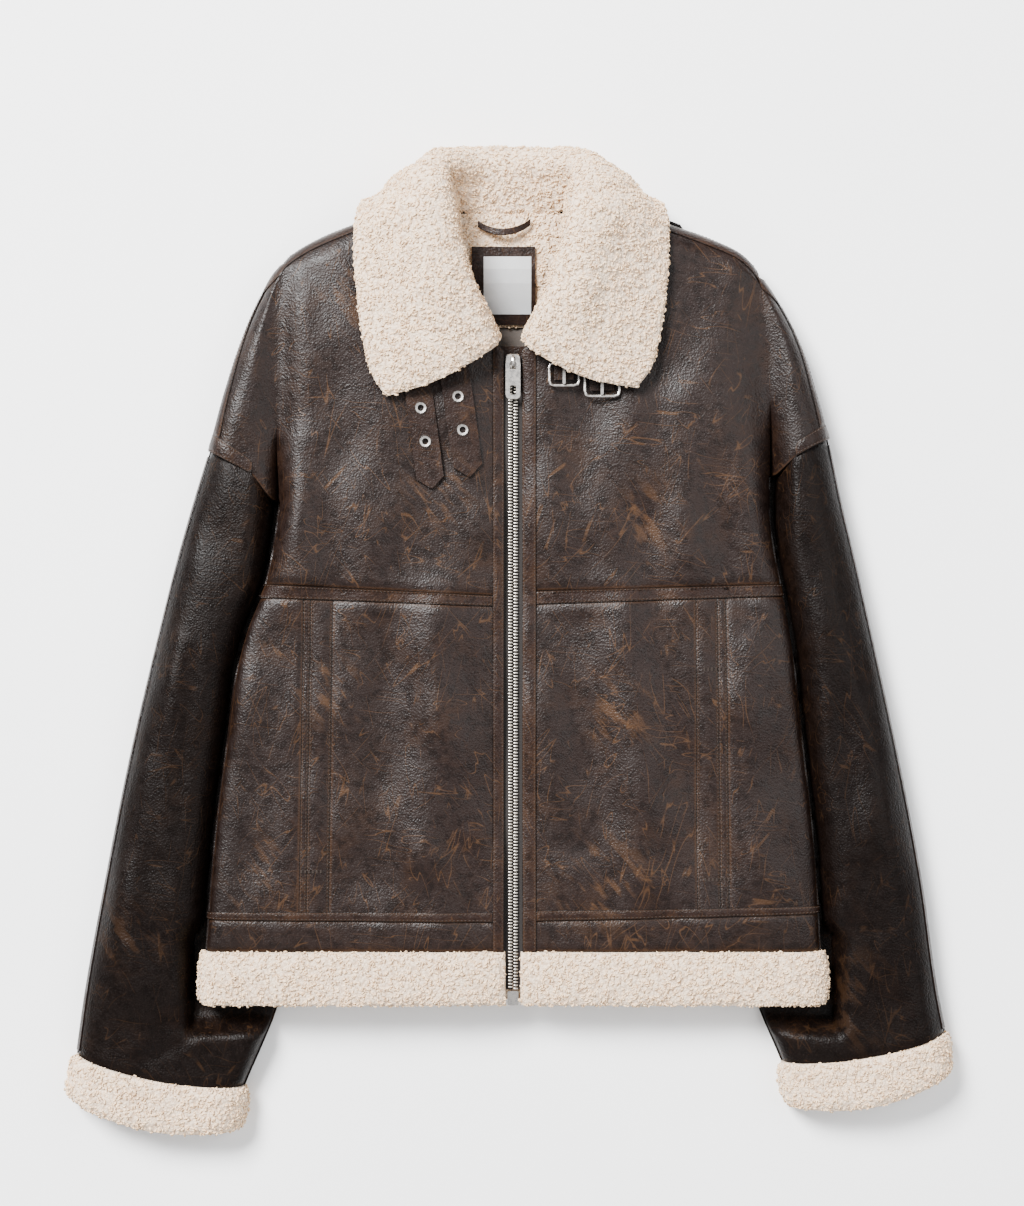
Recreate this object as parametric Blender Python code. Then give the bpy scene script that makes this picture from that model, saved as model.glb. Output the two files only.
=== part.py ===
# A cropped faux leather jacket with borg collar, hem and cuffs, laid flat on its back. Metres, +Z up.
# The front faces up (+Z) and the collar points to +Y. The wearer's right is at -X, the left at +X.
# Places on the garment are given as (out, y): the distance out from the zip line, and the height up the garment.

import bpy
import numpy as np

RIGHT, LEFT = -1, 1
SIDES = {RIGHT: "right", LEFT: "left"}

# Driving sizes
ZIP_X = 0.0036
LEATHER = 0.003
SEAM_GAP = 0.0003
BAND_THICK = 0.0011
PLACKET_THICK = 0.0015
FRONT_HEIGHT = 0.043
ZIP_DIP = 0.004
EDGE_ROUND = 0.022
SHOULDER_SEAM_Z = 0.024
NECK_LIFT = 0.0138
HEM_END_Y = -0.2633
BORG_HEM_END_Y = -0.3085
HEM_PROUD = 0.0072
CUFF_PROUD = 0.0060
CUFF_INSIDE = 0.0042
HEM_INSIDE = 0.0035
BORG_THICK = 0.0075
COLLAR_LEATHER = 0.0021
NECK_X = 0.0022

# Neckline of the fronts from the zip to the neck point: out, y
NECKLINE = [
    (0.0078, 0.2450),
    (0.0246, 0.2600),
    (0.0365, 0.2824),
    (0.0470, 0.3080),
    (0.0530, 0.3350),
    (0.0560, 0.3560),
    (0.0575, 0.3742),
]
# Neck edge of the back from the centre to the neck point: out, y
BACK_NECK = [(0.0, 0.3575), (0.0250, 0.3590), (0.0420, 0.3640), (0.0575, 0.3742)]
# Shoulder and cap outline from the neck point to the armhole: out, y
SHOULDER = {
    RIGHT: [
        (0.0575, 0.3742),
        (0.0960, 0.3672),
        (0.1377, 0.3525),
        (0.1640, 0.3419),
        (0.1861, 0.3291),
        (0.2019, 0.3138),
        (0.2176, 0.2858),
        (0.2312, 0.2543),
        (0.2452, 0.2127),
        (0.2592, 0.1608),
    ],
    LEFT: [
        (0.0575, 0.3742),
        (0.0920, 0.3680),
        (0.1331, 0.3533),
        (0.1683, 0.3410),
        (0.1964, 0.3266),
        (0.2117, 0.3082),
        (0.2295, 0.2807),
        (0.2465, 0.2458),
        (0.2589, 0.2076),
        (0.2690, 0.1710),
    ],
}
# Fold between body and cap, then the body's side edge down to the hem: y, out
SIDE_EDGE = {
    RIGHT: [
        (0.3400, 0.1920),
        (0.3062, 0.1955),
        (0.2611, 0.1967),
        (0.2008, 0.1992),
        (0.1574, 0.2010),
        (0.1150, 0.2006),
        (0.0852, 0.2040),
        (0.0478, 0.2108),
        (0.0172, 0.2235),
        (-0.0185, 0.2337),
        (-0.0678, 0.2405),
        (-0.1273, 0.2490),
        (-0.1919, 0.2558),
        (-0.2700, 0.2615),
    ],
    LEFT: [
        (0.3400, 0.2040),
        (0.2892, 0.2110),
        (0.2611, 0.2155),
        (0.2178, 0.2181),
        (0.1659, 0.2198),
        (0.1390, 0.2202),
        (0.1064, 0.2198),
        (0.0741, 0.2231),
        (0.0401, 0.2295),
        (0.0036, 0.2363),
        (-0.0661, 0.2440),
        (-0.1163, 0.2499),
        (-0.1707, 0.2559),
        (-0.2700, 0.2618),
    ],
}
# Armhole seam from the cap's outer corner to the fold: out, y
ARMHOLE = {
    RIGHT: [(0.2592, 0.1608), (0.2357, 0.1485), (0.2133, 0.1339), (0.2006, 0.1175)],
    LEFT: [(0.2690, 0.1710), (0.2431, 0.1585), (0.2202, 0.1392)],
}
UNDERARM = {RIGHT: [(0.186, 0.090), (0.172, 0.060)], LEFT: [(0.204, 0.112), (0.184, 0.070)]}
# Outer and inner edges of the sleeves from the armhole to the cuff: out, y
SLEEVE_OUTER = {
    RIGHT: [
        (0.2592, 0.1608),
        (0.2720, 0.1192),
        (0.2864, 0.0682),
        (0.3034, 0.0002),
        (0.3272, -0.1018),
        (0.3476, -0.2038),
        (0.3663, -0.3058),
        (0.3731, -0.3534),
    ],
    LEFT: [
        (0.2690, 0.1710),
        (0.2797, 0.1192),
        (0.2916, 0.0682),
        (0.3069, 0.0002),
        (0.3290, -0.1018),
        (0.3485, -0.2038),
        (0.3638, -0.3058),
        (0.3698, -0.3347),
    ],
}
SLEEVE_INNER = {
    RIGHT: [(0.172, 0.060), (0.180, -0.050), (0.190, -0.180), (0.2014, -0.3118), (0.2295, -0.3811)],
    LEFT: [(0.184, 0.070), (0.190, -0.050), (0.197, -0.180), (0.2083, -0.3075), (0.2295, -0.3602)],
}
# Outer end and inner end of the cuffs' free edge: out, y
CUFF_END = {RIGHT: [(0.3790, -0.3900), (0.2345, -0.4180)], LEFT: [(0.3720, -0.3700), (0.2360, -0.3975)]}

# Seams across the fronts: y at the zip, then y at the side edge
CHEST_TOP = {RIGHT: (0.0372, 0.0478), LEFT: (0.0414, 0.0478)}
CHEST_SEAM = {RIGHT: (0.0282, 0.0362), LEFT: (0.0299, 0.0376)}
HEM_TOP = {RIGHT: (-0.2302, -0.2295), LEFT: (-0.2290, -0.2245)}
HEM_SEAM = {RIGHT: (-0.2385, -0.2360), LEFT: (-0.2378, -0.2310)}
# Lines down the fronts: out at the chest, then out at the hem
FRONT_EDGE = {RIGHT: (0.0078, 0.0078), LEFT: (0.0080, 0.0080)}
PLACKET_LINE = {RIGHT: (0.0172, 0.0172), LEFT: (0.0196, 0.0196)}
FACING_LINE = {RIGHT: (0.1521, 0.1563), LEFT: (0.1547, 0.1560)}
WELT_INNER = {RIGHT: (0.1708, 0.1751), LEFT: (0.1729, 0.1760)}
WELT_OUTER = {RIGHT: (0.1769, 0.1812), LEFT: (0.1801, 0.1832)}

# Soft folds of the fronts, as ridges or troughs: side, out and y at each end, half-width, height
FRONT_FOLDS = [
    (RIGHT, 0.066, 0.030, 0.072, -0.180, 0.022, 0.0050),
    (RIGHT, 0.178, 0.165, 0.176, 0.060, 0.020, 0.0045),
    (RIGHT, 0.110, 0.010, 0.118, -0.200, 0.020, -0.0035),
    (RIGHT, 0.120, 0.250, 0.118, 0.080, 0.030, 0.0025),
    (LEFT, 0.140, 0.200, 0.150, 0.075, 0.022, 0.0045),
    (LEFT, 0.096, 0.030, 0.112, -0.200, 0.022, 0.0048),
    (LEFT, 0.052, 0.010, 0.050, -0.170, 0.018, -0.0030),
    (LEFT, 0.200, -0.010, 0.212, -0.200, 0.016, 0.0025),
]

# Height of the sleeve's ridge and of the seams along its edges
SLEEVE_RIDGE = 0.046
SLEEVE_SEAM_Z = 0.020
SLEEVE_ROUND = 0.028
# Lift of the body's side over the sleeve: y, height
SIDE_LIFT = [(0.175, 0.013), (0.115, 0.013), (0.050, 0.0205), (-0.100, 0.0215), (-0.310, 0.0235)]

# The collar's sections from its front end to the centre back. Each point is out, y, z, where the borg
# meets its leather underside: neck, stand, roll, turn, fall, edge.
COLLAR = [
    [(0.0118, 0.2530, 0.0428), (0.0128, 0.2505, 0.0500), (0.0165, 0.2460, 0.0575),
     (0.0290, 0.2372, 0.0605), (0.0620, 0.2190, 0.0570), (0.1050, 0.2055, 0.0505)],
    [(0.0235, 0.2665, 0.0420), (0.0215, 0.2690, 0.0540), (0.0245, 0.2690, 0.0660),
     (0.0380, 0.2640, 0.0700), (0.0740, 0.2455, 0.0620), (0.1175, 0.2260, 0.0505)],
    [(0.0350, 0.2900, 0.0420), (0.0335, 0.2920, 0.0570), (0.0365, 0.2930, 0.0715),
     (0.0495, 0.2890, 0.0765), (0.0840, 0.2750, 0.0645), (0.1250, 0.2600, 0.0505)],
    [(0.0430, 0.3100, 0.0420), (0.0410, 0.3120, 0.0580), (0.0440, 0.3140, 0.0740),
     (0.0570, 0.3120, 0.0800), (0.0900, 0.3030, 0.0665), (0.1290, 0.2930, 0.0505)],
    [(0.0480, 0.3290, 0.0410), (0.0465, 0.3310, 0.0585), (0.0495, 0.3330, 0.0750),
     (0.0630, 0.3340, 0.0810), (0.0950, 0.3310, 0.0670), (0.1310, 0.3240, 0.0480)],
    [(0.0490, 0.3450, 0.0380), (0.0490, 0.3465, 0.0580), (0.0535, 0.3485, 0.0750),
     (0.0670, 0.3510, 0.0800), (0.0980, 0.3530, 0.0670), (0.1300, 0.3530, 0.0450)],
    [(0.0500, 0.3570, 0.0345), (0.0508, 0.3585, 0.0560), (0.0565, 0.3615, 0.0735),
     (0.0700, 0.3655, 0.0770), (0.0990, 0.3690, 0.0620), (0.1230, 0.3690, 0.0280)],
    [(0.0505, 0.3690, 0.0300), (0.0530, 0.3720, 0.0520), (0.0600, 0.3740, 0.0710),
     (0.0830, 0.3800, 0.0670), (0.1000, 0.3840, 0.0390), (0.1000, 0.3650, 0.0095)],
    [(0.0498, 0.3775, 0.0260), (0.0540, 0.3830, 0.0460), (0.0600, 0.3870, 0.0650),
     (0.0720, 0.3950, 0.0600), (0.0790, 0.3960, 0.0320), (0.0850, 0.3500, 0.0090)],
    [(0.0440, 0.3690, 0.0200), (0.0520, 0.3880, 0.0380), (0.0555, 0.4010, 0.0540),
     (0.0615, 0.4090, 0.0430), (0.0625, 0.4040, 0.0160), (0.0640, 0.3390, 0.0088)],
    [(0.0240, 0.3625, 0.0155), (0.0265, 0.3870, 0.0265), (0.0275, 0.4060, 0.0335),
     (0.0280, 0.4140, 0.0230), (0.0280, 0.4060, 0.0098), (0.0290, 0.3300, 0.0088)],
    [(0.0000, 0.3600, 0.0150), (0.0000, 0.3855, 0.0255), (0.0000, 0.4060, 0.0310),
     (0.0000, 0.4145, 0.0205), (0.0000, 0.4055, 0.0098), (0.0000, 0.3270, 0.0088)],
]
LEFT_TIP_LIFT = 0.0070

# Straps under the wearer's right collar: centre out and y at the hidden end, at the point, width
STRAPS = {
    "outer": ((0.0825, 0.2320), (0.0686, 0.1277), 0.0230),
    "inner": ((0.0510, 0.2390), (0.0368, 0.1375), 0.0250),
}
# Eyelets: strap, distance of each centre from the strap's point
EYELET_STEPS = (0.0405, 0.0690)
EYELET_OUTER = 0.0053
EYELET_HOLE = 0.0028
# Buckles under the wearer's left collar: left end out, right end out, y of the roller, y of the hidden bar
BUCKLES = {"inner": (0.0305, 0.0555, 0.2150, 0.2340), "outer": (0.0605, 0.0895, 0.2060, 0.2270)}
BUCKLE_WIRE = 0.0024
STRAP_LIFT, STRAP_THICK = 0.0009, 0.0022
TAB_LIFT, TAB_THICK = 0.0006, 0.0012


# Curves and shares

def smooth_through(rows, places):
    """Values at the given places of a smooth curve through rows of (place, value, value, ...)."""
    rows = np.array(rows, float)
    rows = rows[np.argsort(rows[:, 0], kind="stable")]
    knots, values = rows[:, 0], rows[:, 1:]
    slopes = np.gradient(values, knots, axis=0)
    places = np.clip(np.asarray(places, float), knots[0], knots[-1])
    low = np.clip(np.searchsorted(knots, places, side="right") - 1, 0, len(knots) - 2)
    step = (knots[low + 1] - knots[low])[..., None]
    share = (places - knots[low])[..., None] / step
    found = (
        (2 * share**3 - 3 * share**2 + 1) * values[low]
        + (share**3 - 2 * share**2 + share) * step * slopes[low]
        + (3 * share**2 - 2 * share**3) * values[low + 1]
        + (share**3 - share**2) * step * slopes[low + 1]
    )
    return found[..., 0] if values.shape[1] == 1 else found


def along(points, shares):
    """Points at the given shares of the length of a smooth curve through the points."""
    points = np.array(points, float)
    steps = np.linalg.norm(np.diff(points, axis=0), axis=1)
    knots = np.concatenate([[0], np.cumsum(steps)]) / steps.sum()
    return smooth_through(np.column_stack([knots, points]), shares)


def ease(share):
    share = np.clip(share, 0, 1)
    return share * share * (3 - 2 * share)


def rounded(share):
    """Height share of a quarter-round edge, at a share of the edge's width."""
    share = np.clip(share, 0, 1)
    return np.sqrt(1 - (1 - share) ** 2)


def between(pair, share):
    return pair[0] + (pair[1] - pair[0]) * share


def distance_to_line(out, y, line):
    """Distance in plan from each place to a line of points."""
    places = np.stack([np.asarray(out, float), np.asarray(y, float)], axis=-1)[..., None, :]
    start, run = line[:-1], np.diff(line, axis=0)
    share = np.clip(((places - start) * run).sum(-1) / (run * run).sum(-1), 0, 1)
    return np.linalg.norm(places - start - share[..., None] * run, axis=-1).min(-1)


# Heights of the body's two faces

OUTLINE = {side: along(SHOULDER[side], np.linspace(0, 1, 60)) for side in SIDES}
FOLD_END_Y = {side: ARMHOLE[side][-1][1] for side in SIDES}
CAP_CORNER_STEP = 0.0035
# Pull of a seam above which the wall stands square to it
SQUARE_ABOVE = 0.96


def side_edge(side, y):
    return smooth_through(SIDE_EDGE[side], y)


def cap_start(side):
    """Number of the outline's point just outside the fold between body and cap."""
    beyond = OUTLINE[side][:, 0] - side_edge(side, OUTLINE[side][:, 1]) - CAP_CORNER_STEP
    return int(np.argmax(beyond > 0))


def side_lift(y):
    return smooth_through(SIDE_LIFT, y)


def folds(side, out, y):
    height = np.zeros(np.shape(out))
    for fold_side, out_a, y_a, out_b, y_b, width, rise in FRONT_FOLDS:
        if fold_side != side:
            continue
        share = np.clip((y - y_a) / (y_b - y_a), 0, 1)
        off = np.hypot(out - (out_a + (out_b - out_a) * share), y - (y_a + (y_b - y_a) * share))
        height += rise * np.exp(-((off / width) ** 2))
    return height


def crown(side, out, y):
    """Height of the fronts' outer face away from its edges."""
    height = FRONT_HEIGHT - ZIP_DIP * np.exp(-((out / 0.030) ** 2)) + 0.002 * ease((y - 0.15) / 0.1)
    return height + folds(side, out, y)


def side_share(side, y):
    """How far the fold of the body's side has opened into a free edge: 0 at the shoulder, 1 at the armhole."""
    return ease((FOLD_END_Y[side] + 0.080 - y) / 0.080)


def bottom(side, out, y):
    """Height of the back's outer face away from its edges: flat, lifted over the sleeve and the collar."""
    edge = side_edge(side, y)
    inner = smooth_through([(row[1], row[0]) for row in SLEEVE_INNER[side]], y)
    over = ease((out - inner + 0.060) / 0.054) * (1 - ease((out - edge - 0.002) / 0.030))
    over = over * ease((FOLD_END_Y[side] + 0.075 - y) / 0.072)
    neck = ease((y - 0.262) / 0.056) * (1 - ease((out - 0.140) / 0.030))
    return np.maximum(side_lift(y) * over, NECK_LIFT * neck)


def side_seam_z(side, y):
    return side_lift(y) + 0.004 + 0.006 * ease((FOLD_END_Y[side] - y) / 0.060)


def edge_shares(side, out, y):
    """Shares by which the side seam and the shoulder seam pull a face towards their own height."""
    side_pull = (1 - rounded(np.abs(side_edge(side, y) - out) / EDGE_ROUND)) * side_share(side, y)
    near = distance_to_line(out, y, OUTLINE[side])
    top_pull = (1 - rounded(near / EDGE_ROUND)) * ease((out - 0.050) / 0.020)
    beyond = np.where(y < FOLD_END_Y[side] - 0.002, 0.0, 1.0)
    return side_pull, top_pull * beyond


def square_to_seams(side, plan, normals):
    """Turns the normals level along the seams between front and back, so that both walls end square there."""
    out, y = np.nan_to_num(plan[..., 0], nan=0.1), np.nan_to_num(plan[..., 1])
    side_pull, top_pull = edge_shares(side, out, y)
    level = np.maximum(side_pull, top_pull) > SQUARE_ABOVE
    turned = normals * np.where(level, 0.0, 1.0)[..., None] * np.array([0, 0, 1]) + normals * np.array([1, 1, 0])
    return turned / np.maximum(np.linalg.norm(turned, axis=-1, keepdims=True), 1e-9)


def shoulder_seam_z(out):
    return SHOULDER_SEAM_Z + 0.005 * (1 - ease((out - 0.10) / 0.06))


def front_z(side, out, y):
    height = crown(side, out, y)
    side_pull, top_pull = edge_shares(side, out, y)
    valley = 0.006 * np.exp(-(((side_edge(side, y) - out) / 0.014) ** 2)) * (1 - side_share(side, y))
    drop_side = (height - side_seam_z(side, y)) * side_pull + valley
    drop_top = (height - shoulder_seam_z(out)) * top_pull
    return height - np.maximum(drop_side, drop_top)


def back_z(side, out, y):
    height = bottom(side, out, y)
    side_pull, top_pull = edge_shares(side, out, y)
    rise = np.maximum((side_seam_z(side, y) - height) * side_pull, (shoulder_seam_z(out) - height) * top_pull)
    return height + rise


# Grids of places

EDGE_STEPS = np.array([0.0, 0.0022, 0.0085, 0.0145, EDGE_ROUND])
CAP_SHARES = np.array([0.0, 0.42, 0.74, 0.88, 0.97, 1.0])


def top_edge(side, out, back):
    """Height up the garment of the neckline and shoulder line, at distances out."""
    line = (BACK_NECK if back else NECKLINE)[:-1] + list(OUTLINE[side])
    line = np.array(line, float)
    return np.interp(out, line[:, 0], line[:, 1])


def upper_grid(side, columns, spread, back=False):
    """Rows and columns of places over the upper body and its cap, and the number of the armhole's row."""
    start = cap_start(side)
    corner = OUTLINE[side][start]
    fold_y = FOLD_END_Y[side]
    fold_top = corner[1] + 0.001
    chest_top = CHEST_TOP[side]
    first = fold_top - EDGE_STEPS
    middle = np.linspace(first[-1], fold_y + 0.0095, spread + 1)[1:]
    last = np.linspace(fold_y, chest_top[1], 4)
    fold_rows = np.concatenate([first, middle, last])
    armhole_row = len(first) + len(middle)
    shares = (first[-1] - fold_rows) / (first[-1] - fold_rows[-1])
    rows = []
    for row, fold_place in enumerate(fold_rows):
        edge = float(side_edge(side, fold_place))
        outs = np.concatenate([columns(fold_place), edge - EDGE_STEPS[::-1]])
        tops = top_edge(side, np.minimum(outs, corner[0]), back)
        tops = np.where(outs > edge - 0.001, fold_top, tops)
        chest = between(chest_top, outs / outs[-1])
        offset = EDGE_STEPS[min(row, len(EDGE_STEPS) - 1)]
        ys = tops - offset
        if row >= len(first):
            ys = tops - offset + (chest - tops + offset) * shares[row]
        rows.append(np.column_stack([outs, ys]))
    seam = rows[-1].copy()
    seam[:, 1] = between(CHEST_SEAM[side], seam[:, 0] / seam[-1, 0])
    seam[-5:, 0] = float(side_edge(side, seam[-1, 1])) - EDGE_STEPS[::-1]
    rows.append(seam)
    grid = np.array(rows)
    outer = along(OUTLINE[side][start:], np.linspace(0, 1, armhole_row + 1))
    hem_line = along(ARMHOLE[side][::-1], CAP_SHARES)
    chord = hem_line[0] + (hem_line[-1] - hem_line[0]) * CAP_SHARES[:, None]
    cap = np.full((len(grid), len(CAP_SHARES) - 1, 2), np.nan)
    for row in range(armhole_row + 1):
        inner = grid[row, -1]
        line = inner + (outer[row] - inner) * CAP_SHARES[:, None]
        cap[row] = (line + (hem_line - chord) * (row / armhole_row) ** 2)[1:]
    return np.concatenate([grid, cap], axis=1), armhole_row


def raise_grid(side, plan, height):
    """World points of a grid of places, at a height function."""
    out, y = np.nan_to_num(plan[..., 0], nan=0.1), np.nan_to_num(plan[..., 1])
    return np.stack([ZIP_X + side * out, y, height(side, out, y)], axis=-1)


def cells_of(rows, columns):
    return [(row, column) for row in range(*rows) for column in range(*columns)]


# Meshes

MATERIALS = {
    "leather": ((0.042, 0.026, 0.023, 1), 0.45, 0.0),
    "trim_leather": ((0.050, 0.028, 0.018, 1), 0.45, 0.0),
    "borg": ((0.74, 0.66, 0.58, 1), 0.95, 0.0),
    "metal": ((0.62, 0.60, 0.57, 1), 0.30, 1.0),
    "tape": ((0.020, 0.016, 0.014, 1), 0.85, 0.0),
    "satin": ((0.72, 0.73, 0.74, 1), 0.40, 0.0),
    "lining": ((0.36, 0.29, 0.25, 1), 0.70, 0.0),
}


def material_for(name, kind):
    colour, roughness, metallic = MATERIALS[kind]
    made = bpy.data.materials.new(name + "_" + kind)
    made.use_nodes = True
    shader = made.node_tree.nodes["Principled BSDF"]
    shader.inputs["Base Color"].default_value = colour
    shader.inputs["Roughness"].default_value = roughness
    shader.inputs["Metallic"].default_value = metallic
    return made


def add_mesh(name, points, faces, kind):
    points = np.asarray(points, float)
    volume = sum(
        np.dot(points[face[0]], np.cross(points[face[i]], points[face[i + 1]]))
        for face in faces
        for i in range(1, len(face) - 1)
    )
    if volume < 0:
        faces = [face[::-1] for face in faces]
    mesh = bpy.data.meshes.new(name)
    mesh.from_pydata([tuple(point) for point in points], [], [tuple(face) for face in faces])
    mesh.materials.append(material_for(name, kind))
    mesh.shade_smooth()
    mesh.set_sharp_from_angle(angle=0.7)
    made = bpy.data.objects.new(name, mesh)
    bpy.context.collection.objects.link(made)
    return made


def face_normals_at(points, cells, up, ring):
    """Vertex normals over the chosen cells of a grid of points, on the side of up."""
    normals = np.zeros(points.shape)
    count = points.shape[1]
    for row, column in cells:
        after = (column + 1) % count if ring else column + 1
        corners = [(row, column), (row, after), (row + 1, after), (row + 1, column)]
        a, b, c, d = (points[corner] for corner in corners)
        turn = np.cross(c - a, d - b)
        length = np.linalg.norm(turn)
        if length > 0:
            for corner in corners:
                normals[corner] += turn / length
    lengths = np.linalg.norm(normals, axis=-1, keepdims=True)
    normals = normals / np.where(lengths > 0, lengths, 1)
    return normals * up


def edge_count(cells, ring_count):
    """Each cell's four edges with the vertex pair opposite, and how many cells share each edge."""
    found = {}
    for row, column in cells:
        after = (column + 1) % ring_count if ring_count else column + 1
        a, b, c, d = (row, column), (row, after), (row + 1, after), (row + 1, column)
        for first, second, first_in, second_in in ((a, b, d, c), (b, c, a, d), (c, d, b, a), (d, a, c, b)):
            found.setdefault(frozenset((first, second)), []).append((first, second, first_in, second_in))
    return found


def trimmed(points, cells, trim, ring):
    """The grid with the outline of the chosen cells drawn in by trim."""
    moved = points.copy()
    pulls = {}
    edges = edge_count(cells, points.shape[1] if ring else 0)
    for uses in edges.values():
        if len(uses) > 1:
            continue
        first, second, first_in, second_in = uses[0]
        along_row = first[0] == second[0]
        for vertex, inside in ((first, first_in), (second, second_in)):
            step = points[inside] - points[vertex]
            pulls.setdefault((vertex, along_row), []).append(step / max(np.linalg.norm(step), 1e-9))
    for (vertex, _), steps in pulls.items():
        moved[vertex] += trim * np.mean(steps, axis=0)
    return moved


def wall(name, points, normals, cells, low, high, kind, trim=SEAM_GAP / 2, ring=False):
    """A closed wall over the chosen cells, from low to high along the normals."""
    points = trimmed(points, cells, trim, ring)
    low = np.broadcast_to(low, points.shape[:2])[..., None]
    high = np.broadcast_to(high, points.shape[:2])[..., None]
    faces_of = (points + normals * low, points + normals * high)
    count = points.shape[1] if ring else 0
    edges = edge_count(cells, count)
    used = sorted({vertex for edge in edges for vertex in edge})
    number = {vertex: index for index, vertex in enumerate(used)}
    total = len(used)
    vertices = [faces_of[0][vertex] for vertex in used] + [faces_of[1][vertex] for vertex in used]
    faces = []
    for row, column in cells:
        after = (column + 1) % count if count else column + 1
        places = [(row, column), (row, after), (row + 1, after), (row + 1, column)]
        a, b, c, d = (number[place] for place in places)
        spans = [np.linalg.norm(points[places[i]] - points[places[i + 2]]) for i in (0, 1)]
        halves = [(a, b, c), (a, c, d)] if spans[0] <= spans[1] else [(a, b, d), (b, c, d)]
        for half in halves:
            faces.append(half[::-1])
            faces.append([corner + total for corner in half])
    for uses in edges.values():
        if len(uses) > 1:
            continue
        first, second = number[uses[0][0]], number[uses[0][1]]
        faces.append([first, second, second + total])
        faces.append([first, second + total, first + total])
    return add_mesh(name, vertices, faces, kind)


def solid_between(name, lower, upper, kind):
    """A closed solid between two grids of the same shape."""
    points = np.asarray(lower, float)
    cells = cells_of((0, points.shape[0] - 1), (0, points.shape[1] - 1))
    span = np.asarray(upper, float) - points
    length = np.linalg.norm(span, axis=-1)
    direction = span / length[..., None]
    return wall(name, points, direction, cells, 0.0, length, kind, trim=0.0)


# Body

FRONT_COLUMNS = {
    RIGHT: np.array([0.0078, 0.0172, 0.034, 0.046, 0.0525, 0.0575, 0.088, 0.112, 0.138, 0.166]),
    LEFT: np.array([0.0080, 0.0196, 0.034, 0.046, 0.0525, 0.0575, 0.088, 0.124, 0.150, 0.178]),
}
UPPER_SPREAD = 6
LOWER_SPREAD = 7
NECK_POINT_COLUMN = 5


def front_lines(lines):
    """Columns along lines that run from the chest seam to the hem."""
    return lambda down, y: [between(line, down) for line in lines]


def lower_grid(side, columns, spread):
    """Rows and columns of places from the chest seam to the end of the hem leather."""
    shares = np.linspace(0, 1, spread + 1)
    seams = [CHEST_SEAM[side], HEM_TOP[side], HEM_SEAM[side], (HEM_END_Y, HEM_END_Y)]
    rows = []
    for share in shares:
        rows.append((between(seams[0], 0) * (1 - share) + seams[1][0] * share,
                     seams[0][1] * (1 - share) + seams[1][1] * share))
    rows += [seams[2], seams[3]]
    grid = []
    for at_zip, at_side in rows:
        down = np.clip((seams[0][1] - at_side) / (seams[0][1] - HEM_END_Y), 0, 1)
        edge = float(side_edge(side, at_side))
        outs = np.concatenate([columns(down, at_side), edge - EDGE_STEPS[::-1]])
        grid.append(np.column_stack([outs, at_zip + (at_side - at_zip) * outs / edge]))
    return np.array(grid)


def build_front(side):
    word = SIDES[side]
    plan, armhole_row = upper_grid(side, lambda y: FRONT_COLUMNS[side], UPPER_SPREAD)
    main = len(FRONT_COLUMNS[side]) + len(EDGE_STEPS) - 1
    last = plan.shape[0] - 1
    cells = cells_of((0, last), (0, main)) + cells_of((0, armhole_row), (main, plan.shape[1] - 1))
    upper = raise_grid(side, plan, front_z)
    normals = face_normals_at(upper, cells, side * 1.0, False)
    normals *= 1.0 if normals[3, 3, 2] > 0 else -1.0
    normals = square_to_seams(side, plan, normals)
    wall("front_upper_" + word, upper, normals, cells, -LEATHER, 0.0, "leather")
    lift = (SEAM_GAP, SEAM_GAP + BAND_THICK)
    shoulder = cells_of((0, 2), (NECK_POINT_COLUMN + 1, plan.shape[1] - 1))
    shoulder += cells_of((2, armhole_row - 1), (plan.shape[1] - 3, plan.shape[1] - 1))
    wall("shoulder_band_" + word, upper, normals, shoulder, *lift, "trim_leather")
    armhole = cells_of((armhole_row - 1, armhole_row), (main + 1, plan.shape[1] - 1))
    wall("armhole_band_" + word, upper, normals, armhole, 2 * SEAM_GAP, 2 * SEAM_GAP + BAND_THICK,
         "trim_leather")
    wall("chest_band_" + word, upper, normals, cells_of((last - 1, last), (1, main)), *lift, "trim_leather")

    lines = [FRONT_EDGE[side], PLACKET_LINE[side], (0.048, 0.048), (0.074, 0.074), (0.100, 0.100),
             (0.127, 0.127), FACING_LINE[side], WELT_INNER[side], WELT_OUTER[side]]
    plan_low = lower_grid(side, front_lines(lines), LOWER_SPREAD)
    lower = raise_grid(side, plan_low, front_z)
    low_cells = cells_of((0, lower.shape[0] - 1), (0, lower.shape[1] - 1))
    low_normals = face_normals_at(lower, low_cells, 1.0, False)
    low_normals *= 1.0 if low_normals[3, 3, 2] > 0 else -1.0
    low_normals = square_to_seams(side, plan_low, low_normals)
    panel_end = LOWER_SPREAD + 1
    panels = {"front_lower": (0, 6), "pocket_facing": (6, 7), "pocket_welt": (7, 8),
              "side_panel": (8, lower.shape[1] - 1)}
    for name, columns in panels.items():
        wall(name + "_" + word, lower, low_normals, cells_of((0, panel_end), columns), -LEATHER, 0.0, "leather")
    hem_cells = cells_of((panel_end, lower.shape[0] - 1), (0, lower.shape[1] - 1))
    wall("hem_leather_" + word, lower, low_normals, hem_cells, -LEATHER, 0.0, "leather")
    band = cells_of((panel_end - 1, panel_end), (1, lower.shape[1] - 1))
    wall("hem_band_" + word, lower, low_normals, band, *lift, "trim_leather")

    strip = np.concatenate([upper[:, :2], lower[:, :2]])
    strip_normals = np.concatenate([normals[:, :2], low_normals[:, :2]])
    keep = [row for row in range(len(strip)) if row != len(upper)]
    strip, strip_normals = strip[keep], strip_normals[keep]
    wall("placket_" + word, strip, strip_normals, cells_of((0, len(strip) - 1), (0, 1)),
         SEAM_GAP, SEAM_GAP + PLACKET_THICK, "trim_leather")


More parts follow.
